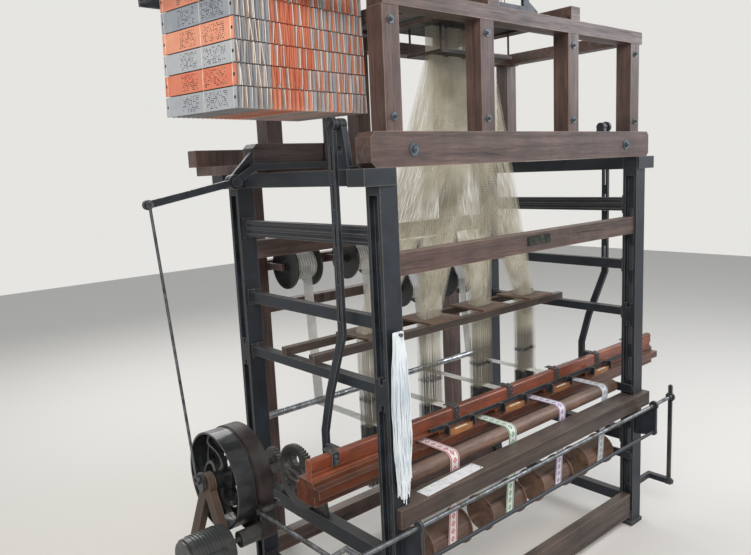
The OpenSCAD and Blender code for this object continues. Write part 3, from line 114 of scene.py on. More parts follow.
def grow(name, mesh_maker, finish, body):
    """A new piece from a bmesh, in world coordinates, that rides on a body."""
    bm = bmesh.new()
    mesh_maker(bm)
    mesh = bpy.data.meshes.new(name)
    bm.to_mesh(mesh)
    bm.free()
    piece = bpy.data.objects.new(name, mesh)
    bpy.context.scene.collection.objects.link(piece)
    mesh.materials.append(finish)
    if body:
        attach(piece, body)
    return piece


def floor_shape(bm):
    bmesh.ops.create_grid(bm, x_segments=2, y_segments=2, size=FLOOR_HALF)


floor_finish, tree = material("pale_floor")
surface(tree, linear("#d9d6d0"), 0.75)
floor = grow("floor", floor_shape, floor_finish, None)

world = bpy.data.worlds.new("studio")
bpy.context.scene.world = world
world.use_nodes = True
tree = world.node_tree
tree.nodes.clear()
path = add(tree, "ShaderNodeLightPath")
seen = maths(tree, "MAXIMUM", path.outputs["Is Camera Ray"], path.outputs["Is Glossy Ray"])
seen_all = maths(tree, "MAXIMUM", seen, path.outputs["Is Transmission Ray"])
light = add(tree, "ShaderNodeBackground", {"Color": linear("#e9edf2"), "Strength": 0.55})
shown = add(tree, "ShaderNodeBackground", {"Color": linear("#e6e5e1"), "Strength": 1.0})
mix = add(tree, "ShaderNodeMixShader", {0: seen_all, 1: light.outputs[0], 2: shown.outputs[0]})
add(tree, "ShaderNodeOutputWorld", {"Surface": mix.outputs[0]})


def lamp(name, place, aim, size, watts, colour):
    made = bpy.data.lights.new(name, "AREA")
    made.size = size
    made.energy = watts
    made.color = linear(colour)[:3]
    held = bpy.data.objects.new(name, made)
    bpy.context.scene.collection.objects.link(held)
    way = (Vector(aim) - Vector(place)).to_track_quat("-Z", "Y")
    held.matrix_world = Matrix.Translation(place) @ way.to_matrix().to_4x4()


lamp("front_left_light", (-4.5, -4.5, 5.5), (0, 0, 1.4), 3.5, 330, "#fff6ea")
lamp("right_light", (5.0, -3.5, 5.0), (0, 0, 1.2), 3.5, 260, "#f2f6ff")
lamp("back_light", (0.5, 5.5, 5.5), (0, 0, 1.8), 4.0, 220, "#ffffff")


# Iron castings and bars
# Grey cast iron and mild steel under old blue-black paint, brushed on. The paint is worn
# to bare metal on the edges and holds dust on what faces up.
def noise(tree, place, scale, detail, roughness=0.5, distortion=0.0):
    sockets = {"Vector": place, "Scale": scale, "Detail": detail, "Roughness": roughness,
               "Distortion": distortion}
    return add(tree, "ShaderNodeTexNoise", sockets).outputs[0]


def remap(tree, value, from_low, from_high, to_low, to_high):
    sockets = {0: value, 1: from_low, 2: from_high, 3: to_low, 4: to_high}
    return add(tree, "ShaderNodeMapRange", sockets).outputs[0]


def mix_colour(tree, share, first, second, way="MIX"):
    node = add(tree, "ShaderNodeMix", {0: share, 6: first, 7: second}, data_type="RGBA", blend_type=way)
    return node.outputs[2]


def bumps(tree, height, strength, distance):
    sockets = {"Height": height, "Strength": strength, "Distance": distance}
    return add(tree, "ShaderNodeBump", sockets).outputs[0]


def edge_share(tree, radius, flat, sharp):
    """0 on flat faces, 1 where a bevel of this radius would turn the surface most."""
    edge = add(tree, "ShaderNodeBevel", {"Radius": radius}, samples=4)
    face = add(tree, "ShaderNodeNewGeometry")
    turn = add(tree, "ShaderNodeVectorMath", {0: edge.outputs[0], 1: face.outputs["Normal"]},
               operation="DOT_PRODUCT")
    return remap(tree, turn.outputs["Value"], flat, sharp, 0.0, 1.0)


def dusty_top(tree, colour, cloud, dust_share, dust):
    """Lays dust on what faces up, uneven like the cloud."""
    face = add(tree, "ShaderNodeNewGeometry")
    up = add(tree, "ShaderNodeSeparateXYZ", {0: face.outputs["Normal"]})
    top = remap(tree, up.outputs["Z"], 0.6, 1.0, 0.0, dust_share)
    settled = maths(tree, "MULTIPLY", top, cloud)
    return mix_colour(tree, settled, colour, linear(dust))


def iron_finish(name, paint, worn, dust_share=0.45, rough=0.48):
    made, tree = material(name)
    place = add(tree, "ShaderNodeTexCoord").outputs["Object"]
    patch = noise(tree, place, 9.0, 8.0, 0.65)
    speck = noise(tree, place, 70.0, 5.0)
    tone = add(tree, "ShaderNodeValToRGB", {0: patch})
    tone.color_ramp.elements[0].position = 0.35
    tone.color_ramp.elements[0].color = linear(paint)
    tone.color_ramp.elements[1].position = 0.72
    tone.color_ramp.elements[1].color = linear(worn)
    edges = edge_share(tree, 0.006, 0.995, 0.90)
    broken = maths(tree, "MULTIPLY", edges, speck)
    bare = mix_colour(tree, broken, tone.outputs[0], linear("#8c8780"))
    dusty = dusty_top(tree, bare, patch, dust_share, "#8f877d")
    matt = remap(tree, patch, 0.3, 0.7, rough - 0.1, rough + 0.16)
    lumps = bumps(tree, speck, 0.16, 0.002)
    surface(tree, dusty, matt, {"Normal": lumps})
    return made


def wear(finish, *nodes):
    """Gives CAD nodes their finish, in their own material slots."""
    for node in nodes:
        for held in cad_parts[node].material_slots:
            held.material = finish


blue_black = iron_finish("painted_cast_iron", "#10161e", "#252e39", 0.25)
bare_iron = iron_finish("oiled_machined_iron", "#26292d", "#4b4c4b", 0.2, 0.36)
rusty_iron = iron_finish("rusty_flat_iron", "#3a302b", "#5b4638", 0.35, 0.6)

wear(blue_black, "front_left_post", "front_right_post", "rear_posts", "left_side_rails",
     "right_side_rails", "pivot_brackets", "batten_swords", "front_arms", "card_cradle", "head_frame",
     "lift_lever")
wear(bare_iron, "shaft_brackets", "crank_arms", "rod_lever", "griffe", "cylinder_slide", "take_up_pawl",
     "crankshaft", "drive_shaft", "motor_pulley")
wear(rusty_iron, "outboard_stand")


# Timber beams, planks and posts
# Old pitch pine, sawn and planed, stained red-brown and darkened by oil and dust. The eye
# sees long streaks and drying cracks along each beam, pale bruised edges and a dusty top.
def timber_finish(name, light, dark, along, line_mm=7.0, gloss=0.5, dust_share=0.5):
    """along is the axis of the grain, 0 to 2, and line_mm the spacing of its growth lines."""
    made, tree = material(name)
    place = add(tree, "ShaderNodeTexCoord").outputs["Object"]
    squeeze = [1.0, 1.0, 1.0]
    squeeze[along] = 0.05
    grain = add(tree, "ShaderNodeMapping", {"Vector": place, "Scale": squeeze})
    line = noise(tree, grain.outputs[0], 1000 / line_mm, 5.0, 0.62, distortion=0.6)
    band = noise(tree, grain.outputs[0], 16.0, 4.0, distortion=1.4)
    blotch = noise(tree, place, 4.0, 6.0, 0.6)
    both = maths(tree, "ADD", line, band)
    tone = remap(tree, both, 0.72, 1.28, 0.0, 1.0)
    wood = mix_colour(tree, tone, linear(dark), linear(light))
    stain = remap(tree, blotch, 0.36, 0.66, 0.62, 1.12)
    stained = mix_colour(tree, 1.0, wood, stain, "MULTIPLY")
    split = remap(tree, band, 0.30, 0.335, 1.0, 0.0)
    cracked = mix_colour(tree, split, stained, linear("#17100d"))
    edges = edge_share(tree, 0.007, 0.99, 0.86)
    chipped = maths(tree, "MULTIPLY", edges, blotch)
    worn = mix_colour(tree, chipped, cracked, linear("#a98a76"))
    dusty = dusty_top(tree, worn, blotch, dust_share, "#a0968c")
    matt = remap(tree, both, 0.7, 1.3, gloss + 0.12, gloss - 0.08)
    rise = maths(tree, "SUBTRACT", both, split)
    lumps = bumps(tree, rise, 0.3, 0.0015)
    surface(tree, dusty, matt, {"Normal": lumps})
    return made


beam_wood = timber_finish("stained_pitch_pine_along", "#6a544e", "#3a2c29", 0)
post_wood = timber_finish("stained_pitch_pine_upright", "#6b554f", "#3b2d2a", 2)
plank_wood = timber_finish("oiled_dark_plank", "#55453f", "#2a211e", 0, 9.0, 0.4, 0.3)
board_wood = timber_finish("bare_beech_board", "#7f6350", "#4c3a30", 0, 5.0, 0.6, 0.4)
trestle_wood = timber_finish("rough_brown_trestle", "#5c4433", "#2f221b", 2, 8.0, 0.65, 0.5)
rail_wood = timber_finish("varnished_red_rail", "#9c5030", "#572417", 0, 6.0, 0.28, 0.12)
race_wood = timber_finish("varnished_brown_race", "#74412c", "#3c1f16", 0, 6.0, 0.34, 0.2)
drum_wood = timber_finish("turned_worn_drum", "#8d6e5c", "#4f3a30", 0, 5.0, 0.5, 0.3)

wear(beam_wood, "gantry_lower_beams", "gantry_top_beams", "cross_beams")
wear(post_wood, "gantry_posts", "creel_frame")
wear(plank_wood, "breast_plank", "low_plank", "comber_rails")
wear(board_wood, "comber_boards", "card_cylinder")
wear(trestle_wood, "motor_stand")
wear(rail_wood, "batten_hand_rail")
wear(race_wood, "batten_race")
wear(drum_wood, "breast_roller", "take_up_drums")


# Bolts and bare metal
# Long forged bolts tie the timber gantry together. Each ends in a broad washer and a nut,
# grey with a blue tint and dull with old oil.
def metal_finish(name, colour, worn, rough, metallic=1.0):
    made, tree = material(name)
    place = add(tree, "ShaderNodeTexCoord").outputs["Object"]
    cloud = noise(tree, place, 22.0, 7.0, 0.65)
    fine = noise(tree, place, 320.0, 3.0)
    share = remap(tree, cloud, 0.4, 0.66, 0.0, 1.0)
    tint = mix_colour(tree, share, linear(colour), linear(worn))
    matt = remap(tree, cloud, 0.3, 0.7, rough - 0.08, rough + 0.18)
    lumps = bumps(tree, fine, 0.12, 0.001)
    surface(tree, tint, matt, {"Metallic": metallic, "Normal": lumps})
    return made


bright_steel = metal_finish("ground_bright_steel", "#b9bdc0", "#7d8084", 0.26)
dull_steel = metal_finish("drawn_grey_steel", "#7c8084", "#4d4a47", 0.42)
forged_iron = metal_finish("forged_blue_grey_iron", "#6f7b84", "#4a5258", 0.45, 0.7)
wear(forged_iron, "frame_bolts")


# Name plate
# A cast brass plate gone dark, held to the cross beam with four round-headed screws. It
# carries no words: a raised border round a plain sunk field.
FRAME_MIDDLE_MM = 120
PLATE_SIZE = Vector((0.194, 0.003, 0.049))
PLATE_BORDER = 0.003
PLATE_SUNK = 0.0009
SCREW_INSET = 0.007
SCREW_RADIUS = 0.0022


def at(x, y, z):
    """A place in the iron frame's own millimetres, from part.scad, in the model's metres."""
    return Vector((x, y - FRAME_MIDDLE_MM, z)) / 1000


PLATE_LOW = at(-83, -614.5, 1971)
dark_brass = metal_finish("blackened_plate_brass", "#262a27", "#4b4d42", 0.45, 0.7)


def name_plate_shape(bm):
    bmesh.ops.create_cube(bm, size=1.0)
    bmesh.ops.scale(bm, vec=PLATE_SIZE, verts=bm.verts)
    middle = PLATE_LOW + Vector((PLATE_SIZE.x, -PLATE_SIZE.y, PLATE_SIZE.z)) / 2
    bmesh.ops.translate(bm, vec=middle, verts=bm.verts)
    bm.normal_update()
    front = [f for f in bm.faces if f.normal.y < -0.9]
    bmesh.ops.inset_region(bm, faces=front, thickness=PLATE_BORDER, depth=0.0)
    bmesh.ops.inset_region(bm, faces=front, thickness=0.0008, depth=-PLATE_SUNK)
    for x in (SCREW_INSET, PLATE_SIZE.x - SCREW_INSET):
        for z in (SCREW_INSET, PLATE_SIZE.z - SCREW_INSET):
            place = Matrix.Translation(PLATE_LOW + Vector((x, -PLATE_SIZE.y, z)))
            bmesh.ops.create_uvsphere(bm, u_segments=12, v_segments=6, radius=SCREW_RADIUS,
                                      matrix=place @ Matrix.Diagonal((1.0, 0.6, 1.0, 1.0)))


plate = grow("name_plate", name_plate_shape, dark_brass, "loom_frame")


# Harness
# Cream linen cords, one for each hook, waxed and faintly hairy. They hang from the hooks
# through the guide board, spread to the comber boards and drop to a steel mail for each
# warp thread; a steel wire weight below each mail keeps it straight.
CORD_MM = 1.7  # the real ones are about 1 mm; drawn coarser so that they show
RIBBON_X = (-580, -110, 360, 830)
NECK_X = (-204, -68, 68, 204)
BUNDLE_MM = (142, 84)
MAIL_RADIUS = 0.0016
WEIGHT_RADIUS = 0.0017
NECK_SHARE = 0.74
CORD_COLUMNS = 20
CORD_ROWS = 12
COMBER_Z = 1507
GUIDE_Z = 2992
HOOK_Z = 3142
MAIL_Z = 1120
WEIGHT_TOP = 966
WEIGHT_LOW = 603
HEAD_Y = -110
COMBER_Y = 100
MAIL_HALF_MM = 9


def wires(name, paths, radius, finish, body, sides=0):
    """Many thin cords or wires as one piece: each path is a row of points in metres."""
    line = bpy.data.curves.new(name, "CURVE")
    line.dimensions = "3D"
    line.bevel_depth = radius
    line.bevel_resolution = sides
    line.use_fill_caps = True
    for path in paths:
        run = line.splines.new("POLY")
        run.points.add(len(path) - 1)
        for point, place in zip(run.points, path):
            point.co = (*place, 1.0)
    line.materials.append(finish)
    piece = bpy.data.objects.new(name, line)
    bpy.context.scene.collection.objects.link(piece)
    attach(piece, body)
    return piece


def yarn_finish(name, light, dark, low_painted_shade=None, hair=700.0):
    """Spun yarn: a matt colour in fine light and dark flecks, and, if asked, a darker foot that is
    painted shade on the lower cords.
    """
    made, tree = material(name)
    place = add(tree, "ShaderNodeTexCoord").outputs["Object"]
    fleck = noise(tree, place, hair, 3.0)
    cloud = noise(tree, place, 6.0, 3.0)
    both = maths(tree, "ADD", fleck, cloud)
    share = remap(tree, both, 0.8, 1.2, 0.0, 1.0)
    tint = mix_colour(tree, share, linear(dark), linear(light))
    shown = tint
    # Below about 1.3 m the colour is darkened towards the given foot colour: painted shade on the lower
    # ends of the cords.
    if low_painted_shade:
        height = add(tree, "ShaderNodeSeparateXYZ", {0: place})
        foot = remap(tree, height.outputs["Z"], 1.30, 1.22, 0.0, 0.75)
        shown = mix_colour(tree, foot, tint, linear(low_painted_shade))
    twist = bumps(tree, fleck, 0.5, 0.0006)
    surface(tree, shown, 0.85, {"Sheen Weight": 0.25, "Normal": twist})
    return made


# The linen's darker foot colour, #7d796d, is painted shade on the cords' lower ends near the mails.
linen = yarn_finish("waxed_linen_cord", "#fbf8ea", "#cdc7b3", "#7d796d")
chance = random.Random(11)
cord_paths = []
mail_paths = []
weight_paths = []
for ribbon in RIBBON_X:
    for column in range(CORD_COLUMNS):
        for row in range(CORD_ROWS):
            across = (column + 0.5) / CORD_COLUMNS - 0.5 + chance.uniform(-0.012, 0.012)
            deep = ((row + 0.5) / CORD_ROWS - 0.5 + chance.uniform(-0.02, 0.02)) * BUNDLE_MM[1]
            group = column * len(NECK_X) // CORD_COLUMNS
            in_group = (column * len(NECK_X) / CORD_COLUMNS) % 1 - 0.5 + 0.5 * len(NECK_X) / CORD_COLUMNS
            hook_x = NECK_X[group] + in_group * BUNDLE_MM[0] * NECK_SHARE
            hook_y = HEAD_Y + deep * NECK_SHARE
            x = ribbon + across * BUNDLE_MM[0]
            y = COMBER_Y + deep
            mail = MAIL_Z + chance.uniform(-7, 7)
            low = at(x, y, WEIGHT_TOP)
            above = (at(hook_x, hook_y, HOOK_Z), at(hook_x, hook_y, GUIDE_Z))
            cord_paths.append((*above, at(x, y, COMBER_Z), low))
            mail_paths.append((at(x, y, mail - MAIL_HALF_MM), at(x, y, mail + MAIL_HALF_MM)))
            foot = WEIGHT_LOW + chance.uniform(0, 9)
            weight_paths.append((low, at(x, y, foot)))
harness = wires("harness_strings", cord_paths, CORD_MM / 2000, linen, "loom_frame")
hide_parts("harness_cords")
mails = wires("harness_mails", mail_paths, MAIL_RADIUS, bright_steel, "loom_frame")
weights = wires("harness_wire_weights", weight_paths, WEIGHT_RADIUS, dull_steel, "loom_frame")
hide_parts("harness_weights")

guide_black = timber_finish("ebonised_guide_board", "#3d3632", "#1c1816", 0, 4.0, 0.45, 0.5)
wear(guide_black, "guide_board")
wear(metal_finish("hook_wire_and_plates", "#9b988d", "#5c5850", 0.4), "hook_box")


# Warp
# Fine white cotton thread, side by side: off the bobbins, round the polished back bar, and
# forward through the mails and the reeds to the edge of the cloth.
WARP_THREADS = 64
WARP_WIDTH_MM = 67
THREAD_MM = 0.9
WARP_Z = 973.3
BOBBIN_Z = (1830, 1830, 1560, 1560)
FELL_Y = -262
OFF_BOBBIN_Y = 673.7
ROUND_BACK_BAR = ((621.3, 994), (619.6, 982), (613, 974.6), (600, WARP_Z))

cotton = yarn_finish("white_cotton_thread", "#f1f1ea", "#b9bdbd")
thread_paths = []
for ribbon, bobbin in zip(RIBBON_X, BOBBIN_Z):
    for thread in range(WARP_THREADS):
        x = ribbon + (thread / (WARP_THREADS - 1) - 0.5) * WARP_WIDTH_MM
        side_view = ((OFF_BOBBIN_Y, bobbin), *ROUND_BACK_BAR, (FELL_Y, WARP_Z))
        thread_paths.append([at(x, y, z) for y, z in side_view])
warp = wires("warp_threads", thread_paths, THREAD_MM / 2000, cotton, "loom_frame")
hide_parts("warp_sheets")
wear(bright_steel, "back_bar")


# Warp bobbins
# Turned bobbins with black lacquered flanges. White warp is wound between the flanges in
# close turns, so the yarn shows fine rings and a slightly uneven barrel.
BOBBIN_Y = 765
YARN_MM = 90.6
YARN_LENGTH_MM = 165

lacquer = iron_finish("black_lacquered_flange", "#121315", "#26272a", 0.3, 0.3)
wear(lacquer, "warp_bobbin_1", "warp_bobbin_2", "warp_bobbin_3", "warp_bobbin_4")


def wound_finish(name, light, dark, turn_mm):
    """Yarn wound round an axis along x, in turns turn_mm apart."""
    made, tree = material(name)
    place = add(tree, "ShaderNodeTexCoord").outputs["Object"]
    turns = add(tree, "ShaderNodeTexWave", {"Vector": place, "Scale": 1000 / turn_mm / 20,
                                           "Distortion": 1.2, "Detail": 3.0, "Detail Scale": 2.0},
                wave_type="BANDS", bands_direction="X")
    cloud = noise(tree, place, 18.0, 3.0)
    both = maths(tree, "ADD", turns.outputs[1], cloud)
    share = remap(tree, both, 0.4, 1.5, 0.0, 1.0)
    tint = mix_colour(tree, share, linear(dark), linear(light))
    ridge = bumps(tree, turns.outputs[1], 0.6, 0.001)
    surface(tree, tint, 0.85, {"Sheen Weight": 0.25, "Normal": ridge})
    return made


def barrel(bm, middle, length, radius, swell, steps=14, sides=40):
    """A wound barrel round an axis along x: an uneven profile spun once round."""
    rim = []
    for step in range(steps + 1):
        share = step / steps
        ripple = swell * math.sin(share * 19.0) * math.sin(share * 5.3)
        rim.append(bm.verts.new(middle + Vector(((share - 0.5) * length, 0.0, radius + ripple))))
    edges = [bm.edges.new(pair) for pair in zip(rim, rim[1:])]
    bmesh.ops.spin(bm, geom=rim + edges, cent=middle, axis=(1.0, 0.0, 0.0), dvec=(0.0, 0.0, 0.0),
                   angle=math.tau, steps=sides, use_merge=True)
    bmesh.ops.recalc_face_normals(bm, faces=bm.faces)
    for f in bm.faces:
        f.smooth = True


wound_cotton = wound_finish("wound_white_cotton", "#f3f2ec", "#a7aaa9", 3.0)
for number, (ribbon, bobbin) in enumerate(zip(RIBBON_X, BOBBIN_Z), 1):
    middle = at(ribbon, BOBBIN_Y, bobbin)
    yarn = grow(f"bobbin_yarn_{number}",
                lambda bm: barrel(bm, middle, YARN_LENGTH_MM / 1000, YARN_MM / 1000, 0.0005),
                wound_cotton, f"bobbin_{number}")


# Woven ribbons
# Narrow cotton ribbon, woven in coloured warp stripes with a small figure, firm and nearly
# flat. Each is a single layer stretched from the cloth's edge over the breast roller and
# down round its drum.
RIBBON_HALF_MM = 34
ROLLER = (-480, 932.0, 41.3)
DRUM = (-400, 480.0, 89.3)
CLOTH_T = 0.0007
FIGURE_PITCH = 0.044


def ribbon_line():
    """The ribbon's line, seen from the side: points in the frame's Y and Z millimetres."""
    down = Vector((DRUM[0] - ROLLER[0], DRUM[1] - ROLLER[1]))
    lean = math.atan2(down.y, down.x) - math.asin((DRUM[2] - ROLLER[2]) / down.length)
    off = math.atan2(-math.cos(lean), math.sin(lean)) % math.tau
    line = [(FELL_Y + (ROLLER[0] - FELL_Y) * step / 12, WARP_Z) for step in range(12)]
    for step in range(17):
        turn = math.pi / 2 + (off - math.pi / 2) * step / 16
        line.append((ROLLER[0] + ROLLER[2] * math.cos(turn), ROLLER[1] + ROLLER[2] * math.sin(turn)))
    last = 1.5 * math.pi
    for step in range(13):
        turn = off + (last - off) * step / 12
        line.append((DRUM[0] + DRUM[2] * math.cos(turn), DRUM[1] + DRUM[2] * math.sin(turn)))
    return line


def woven_finish(name, ground, stripe, figure):
    """Warp stripes along the ribbon and a small diamond figure between them; V is metres
    along the ribbon, U runs from one selvedge to the other."""
    made, tree = material(name)
    cloth = add(tree, "ShaderNodeUVMap", uv_map="weave")
    way = add(tree, "ShaderNodeSeparateXYZ", {0: cloth.outputs[0]})
    side = maths(tree, "SUBTRACT", way.outputs["X"], 0.5)
    out = maths(tree, "ABSOLUTE", side)
    border = maths(tree, "COMPARE", out, 0.38, 0.045)
    selvedge = maths(tree, "GREATER_THAN", out, 0.48)
    lines = maths(tree, "MAXIMUM", border, selvedge)
    repeat = maths(tree, "MODULO", way.outputs["Y"], FIGURE_PITCH)
    share = maths(tree, "MULTIPLY", repeat, 1 / FIGURE_PITCH)
    mid = maths(tree, "SUBTRACT", share, 0.5)
    along = maths(tree, "ABSOLUTE", mid)
    wide = maths(tree, "MULTIPLY", out, 1.9)
    slope = maths(tree, "ADD", along, wide)
    diamond = maths(tree, "COMPARE", slope, 0.30, 0.10)
    heart = maths(tree, "LESS_THAN", slope, 0.10)
    drawn = maths(tree, "MAXIMUM", diamond, heart)
    striped = mix_colour(tree, lines, linear(ground), linear(stripe))
    figured = mix_colour(tree, drawn, striped, linear(figure))
    threads = add(tree, "ShaderNodeMapping", {"Vector": cloth.outputs[0], "Scale": (64.0, 1100.0, 1.0)})
    check = add(tree, "ShaderNodeTexChecker", {"Vector": threads.outputs[0], "Scale": 1.0})
    shade = remap(tree, check.outputs[1], 0.0, 1.0, 0.86, 1.0)
    woven = mix_colour(tree, 1.0, figured, shade, "MULTIPLY")
    over = bumps(tree, check.outputs[1], 0.4, 0.0003)
    surface(tree, woven, 0.7, {"Sheen Weight": 0.3, "Normal": over})
    return made


side_line = ribbon_line()
lengths = [0.0]
for low, high in zip(side_line, side_line[1:]):
    lengths.append(lengths[-1] + math.dist(low, high) / 1000)


def ribbon_shape(bm, middle):
    """A flat grid whose rows are laid along the ribbon's line."""
    rows = len(side_line) - 1
    bmesh.ops.create_grid(bm, x_segments=4, y_segments=rows, size=1.0)
    weave = bm.loops.layers.uv.new("weave")
    row_of = {v: round((v.co.y + 1) / 2 * rows) for v in bm.verts}
    for f in bm.faces:
        for corner in f.loops:
            corner[weave].uv = ((corner.vert.co.x + 1) / 2, lengths[row_of[corner.vert]])
    for v in bm.verts:
        y, z = side_line[row_of[v]]
        v.co = at(middle + v.co.x * RIBBON_HALF_MM, y, z)
    bm.normal_update()
    bm.faces.ensure_lookup_table()
    if bm.faces[0].normal.z < 0:
        bmesh.ops.reverse_faces(bm, faces=bm.faces)


RIBBON_COLOURS = (
    ("#e9e2e0", "#b3263a", "#c23a4a"),
    ("#e8ebe4", "#2f8a5d", "#3b9a6b"),
    ("#ebe6ee", "#6b4a94", "#7a5aa3"),
    ("#dfe3e6", "#a9b2bd", "#8d99a8"),
)
for number, (ribbon, colours) in enumerate(zip(RIBBON_X, RIBBON_COLOURS), 1):
    cloth = grow(f"woven_ribbon_{number}", lambda bm: ribbon_shape(bm, ribbon),
                 woven_finish(f"woven_cotton_ribbon_{number}", *colours), "loom_frame")
    thick = cloth.modifiers.new("cloth_thickness", "SOLIDIFY")
    thick.thickness = CLOTH_T
    thick.offset = 0.0
    for f in cloth.data.polygons:
        f.use_smooth = True
    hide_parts("woven_ribbons")


# Batten
# The swinging beam that beats up the weft: a thick lower rail with blocks between the
# ribbons, a varnished upper rail, steel reeds, and black iron brackets with square nuts
# that clamp the upper rail and guide the rake.
BRACKET_X = (-1180, -815, -345, 125, 595, 1065, 1500)
BRACKET_W = 44
BRACKET_T = 5
RAIL_FRONT = -320
RAIL_BACK = -275
RAIL_TOP = 1100
RAIL_LOW = 1000
FRONT_LEG = RAIL_LOW + 38
BACK_LEG = RAIL_LOW + 6
LUG_LOW = RAIL_LOW + 58
LUG_HIGH = RAIL_LOW + 66
UPPER_NUT = RAIL_LOW + 82
LOWER_NUT = RAIL_LOW + 48

wear(dull_steel, "reeds")
wear(blue_black, "shuttle_rake")


def plate_between(bm, low, high, edge=0.0012):
    """A small plate between two corners, with its edges broken by a bevel."""
    made = bmesh.ops.create_cube(bm, size=1.0)["verts"]
    bmesh.ops.scale(bm, vec=high - low, verts=made)
    bmesh.ops.translate(bm, vec=(low + high) / 2, verts=made)
    edges = list(dict.fromkeys(e for v in made for e in v.link_edges))
    bmesh.ops.bevel(bm, geom=edges, offset=edge, segments=1, profile=0.5, affect="EDGES", material=-1)


UPWARD = Matrix.Identity(4)
FORWARD = Matrix.Rotation(math.pi / 2, 4, "X")


def disc(bm, where, sides, low_radius, high_radius, depth):
    bmesh.ops.create_cone(bm, cap_ends=True, segments=sides, radius1=low_radius, radius2=high_radius,
                          depth=depth, matrix=where)


def bolt_head(bm, place, radius, outward=UPWARD, sides=6):
    """A washer, its nut and the bolt's end, standing on a face."""
    height = radius * 0.8
    where = Matrix.Translation(place) @ outward
    for segments, low, high, depth, middle in (
            (20, 1.35 * radius, 1.3 * radius, 0.2 * radius, 0.1 * radius),
            (sides, radius, 0.96 * radius, height, 0.2 * radius + height / 2),
            (12, 0.5 * radius, 0.42 * radius, 0.5 * height, 0.2 * radius + 1.2 * height)):
        disc(bm, where @ Matrix.Translation((0, 0, middle)), segments, low, high, depth)


def batten_bracket_shape(bm):
    for x in BRACKET_X:
        low = x - BRACKET_W / 2
        high = x + BRACKET_W / 2
        top = RAIL_TOP + BRACKET_T
        plate_between(bm, at(low, RAIL_FRONT - 2, RAIL_TOP), at(high, RAIL_BACK + 30, top))
        plate_between(bm, at(low, RAIL_FRONT - BRACKET_T, FRONT_LEG), at(high, RAIL_FRONT, top))
        plate_between(bm, at(low, RAIL_BACK, BACK_LEG), at(high, RAIL_BACK + BRACKET_T, top))
        plate_between(bm, at(x - 7, RAIL_FRONT - 22, LUG_LOW), at(x + 7, RAIL_FRONT, LUG_HIGH))
        for dx in (-12, 12):
            bolt_head(bm, at(x + dx, (RAIL_FRONT + RAIL_BACK) / 2, top), 0.0075)
        bolt_head(bm, at(x, RAIL_FRONT - BRACKET_T, UPPER_NUT), 0.0065, FORWARD, 4)
        bolt_head(bm, at(x, RAIL_FRONT - BRACKET_T, LOWER_NUT), 0.0055, FORWARD, 4)


brackets = grow("batten_brackets", batten_bracket_shape, blue_black, "batten")


# Shuttles
# Boat shuttles of boxwood, oiled and worn smooth, each with a small cop of cream weft
# wound on its spindle.
SHUTTLE_X = (-345, 125, 595, 1065)
SHUTTLE_Y = -352
SHUTTLE_AXIS_Z = 991.8
COP_LENGTH = 0.096
COP_RADIUS = 0.0093

boxwood = timber_finish("oiled_boxwood", "#c88a52", "#8d5530", 0, 3.0, 0.35, 0.1)
wear(boxwood, "shuttles")
wound_cream = wound_finish("wound_cream_weft", "#efe9d8", "#b8ad92", 1.6)


def cop_shape(bm):
    for x in SHUTTLE_X:
        piece = bmesh.new()
        barrel(piece, at(x, SHUTTLE_Y, SHUTTLE_AXIS_Z), COP_LENGTH, COP_RADIUS, 0.0002, 8, 20)
        held = bpy.data.meshes.new("cop")
        piece.to_mesh(held)
        piece.free()
        bm.from_mesh(held)
        bpy.data.meshes.remove(held)


cops = grow("shuttle_cops", cop_shape, wound_cream, "shuttle_row")


# Pulleys, belt and motor
# Cast-iron pulleys in black gloss enamel, polished on the rim where the belt runs; the
# loose one is rusty. The belt is leather, nearly black with dressing. The motor's ribbed
# iron shell is painted dark grey, and the lift rod is steel rubbed bright in patches.
def enamel_finish(name, paint, rubbed, rough):
    made, tree = material(name)
    place = add(tree, "ShaderNodeTexCoord").outputs["Object"]
    cloud = noise(tree, place, 14.0, 8.0, 0.7)
    run = noise(tree, place, 90.0, 4.0)
    share = remap(tree, cloud, 0.52, 0.68, 0.0, 0.8)
    tint = mix_colour(tree, share, linear(paint), linear(rubbed))
    matt = remap(tree, cloud, 0.4, 0.7, rough, rough + 0.3)
    lumps = bumps(tree, run, 0.14, 0.002)
    surface(tree, tint, matt, {"Coat Weight": 0.35, "Normal": lumps})
    return made


wear(enamel_finish("black_gloss_enamel", "#15181b", "#26292d", 0.36), "fast_pulley")
wear(enamel_finish("rusted_black_enamel", "#1d1918", "#3d2c25", 0.4), "loose_pulley")
wear(enamel_finish("dark_grey_motor_paint", "#2c3031", "#1c1e1f", 0.45), "motor")


def leather_finish(name, light, dark):
    made, tree = material(name)
    place = add(tree, "ShaderNodeTexCoord").outputs["Object"]
    pore = add(tree, "ShaderNodeTexVoronoi", {"Vector": place, "Scale": 420.0})
    cloud = noise(tree, place, 9.0, 6.0)
    share = remap(tree, cloud, 0.36, 0.64, 0.0, 1.0)
    tint = mix_colour(tree, share, linear(dark), linear(light))
    matt = remap(tree, cloud, 0.3, 0.7, 0.42, 0.66)
    grain = bumps(tree, pore.outputs[0], 0.3, 0.0008)
    surface(tree, tint, matt, {"Normal": grain})
    return made


wear(leather_finish("dressed_belt_leather", "#33292a", "#1b1615"), "drive_belt")
wear(metal_finish("rubbed_lift_rod_steel", "#777b80", "#3c3f43", 0.34), "lift_rod")
wear(dull_steel, "starting_rod")


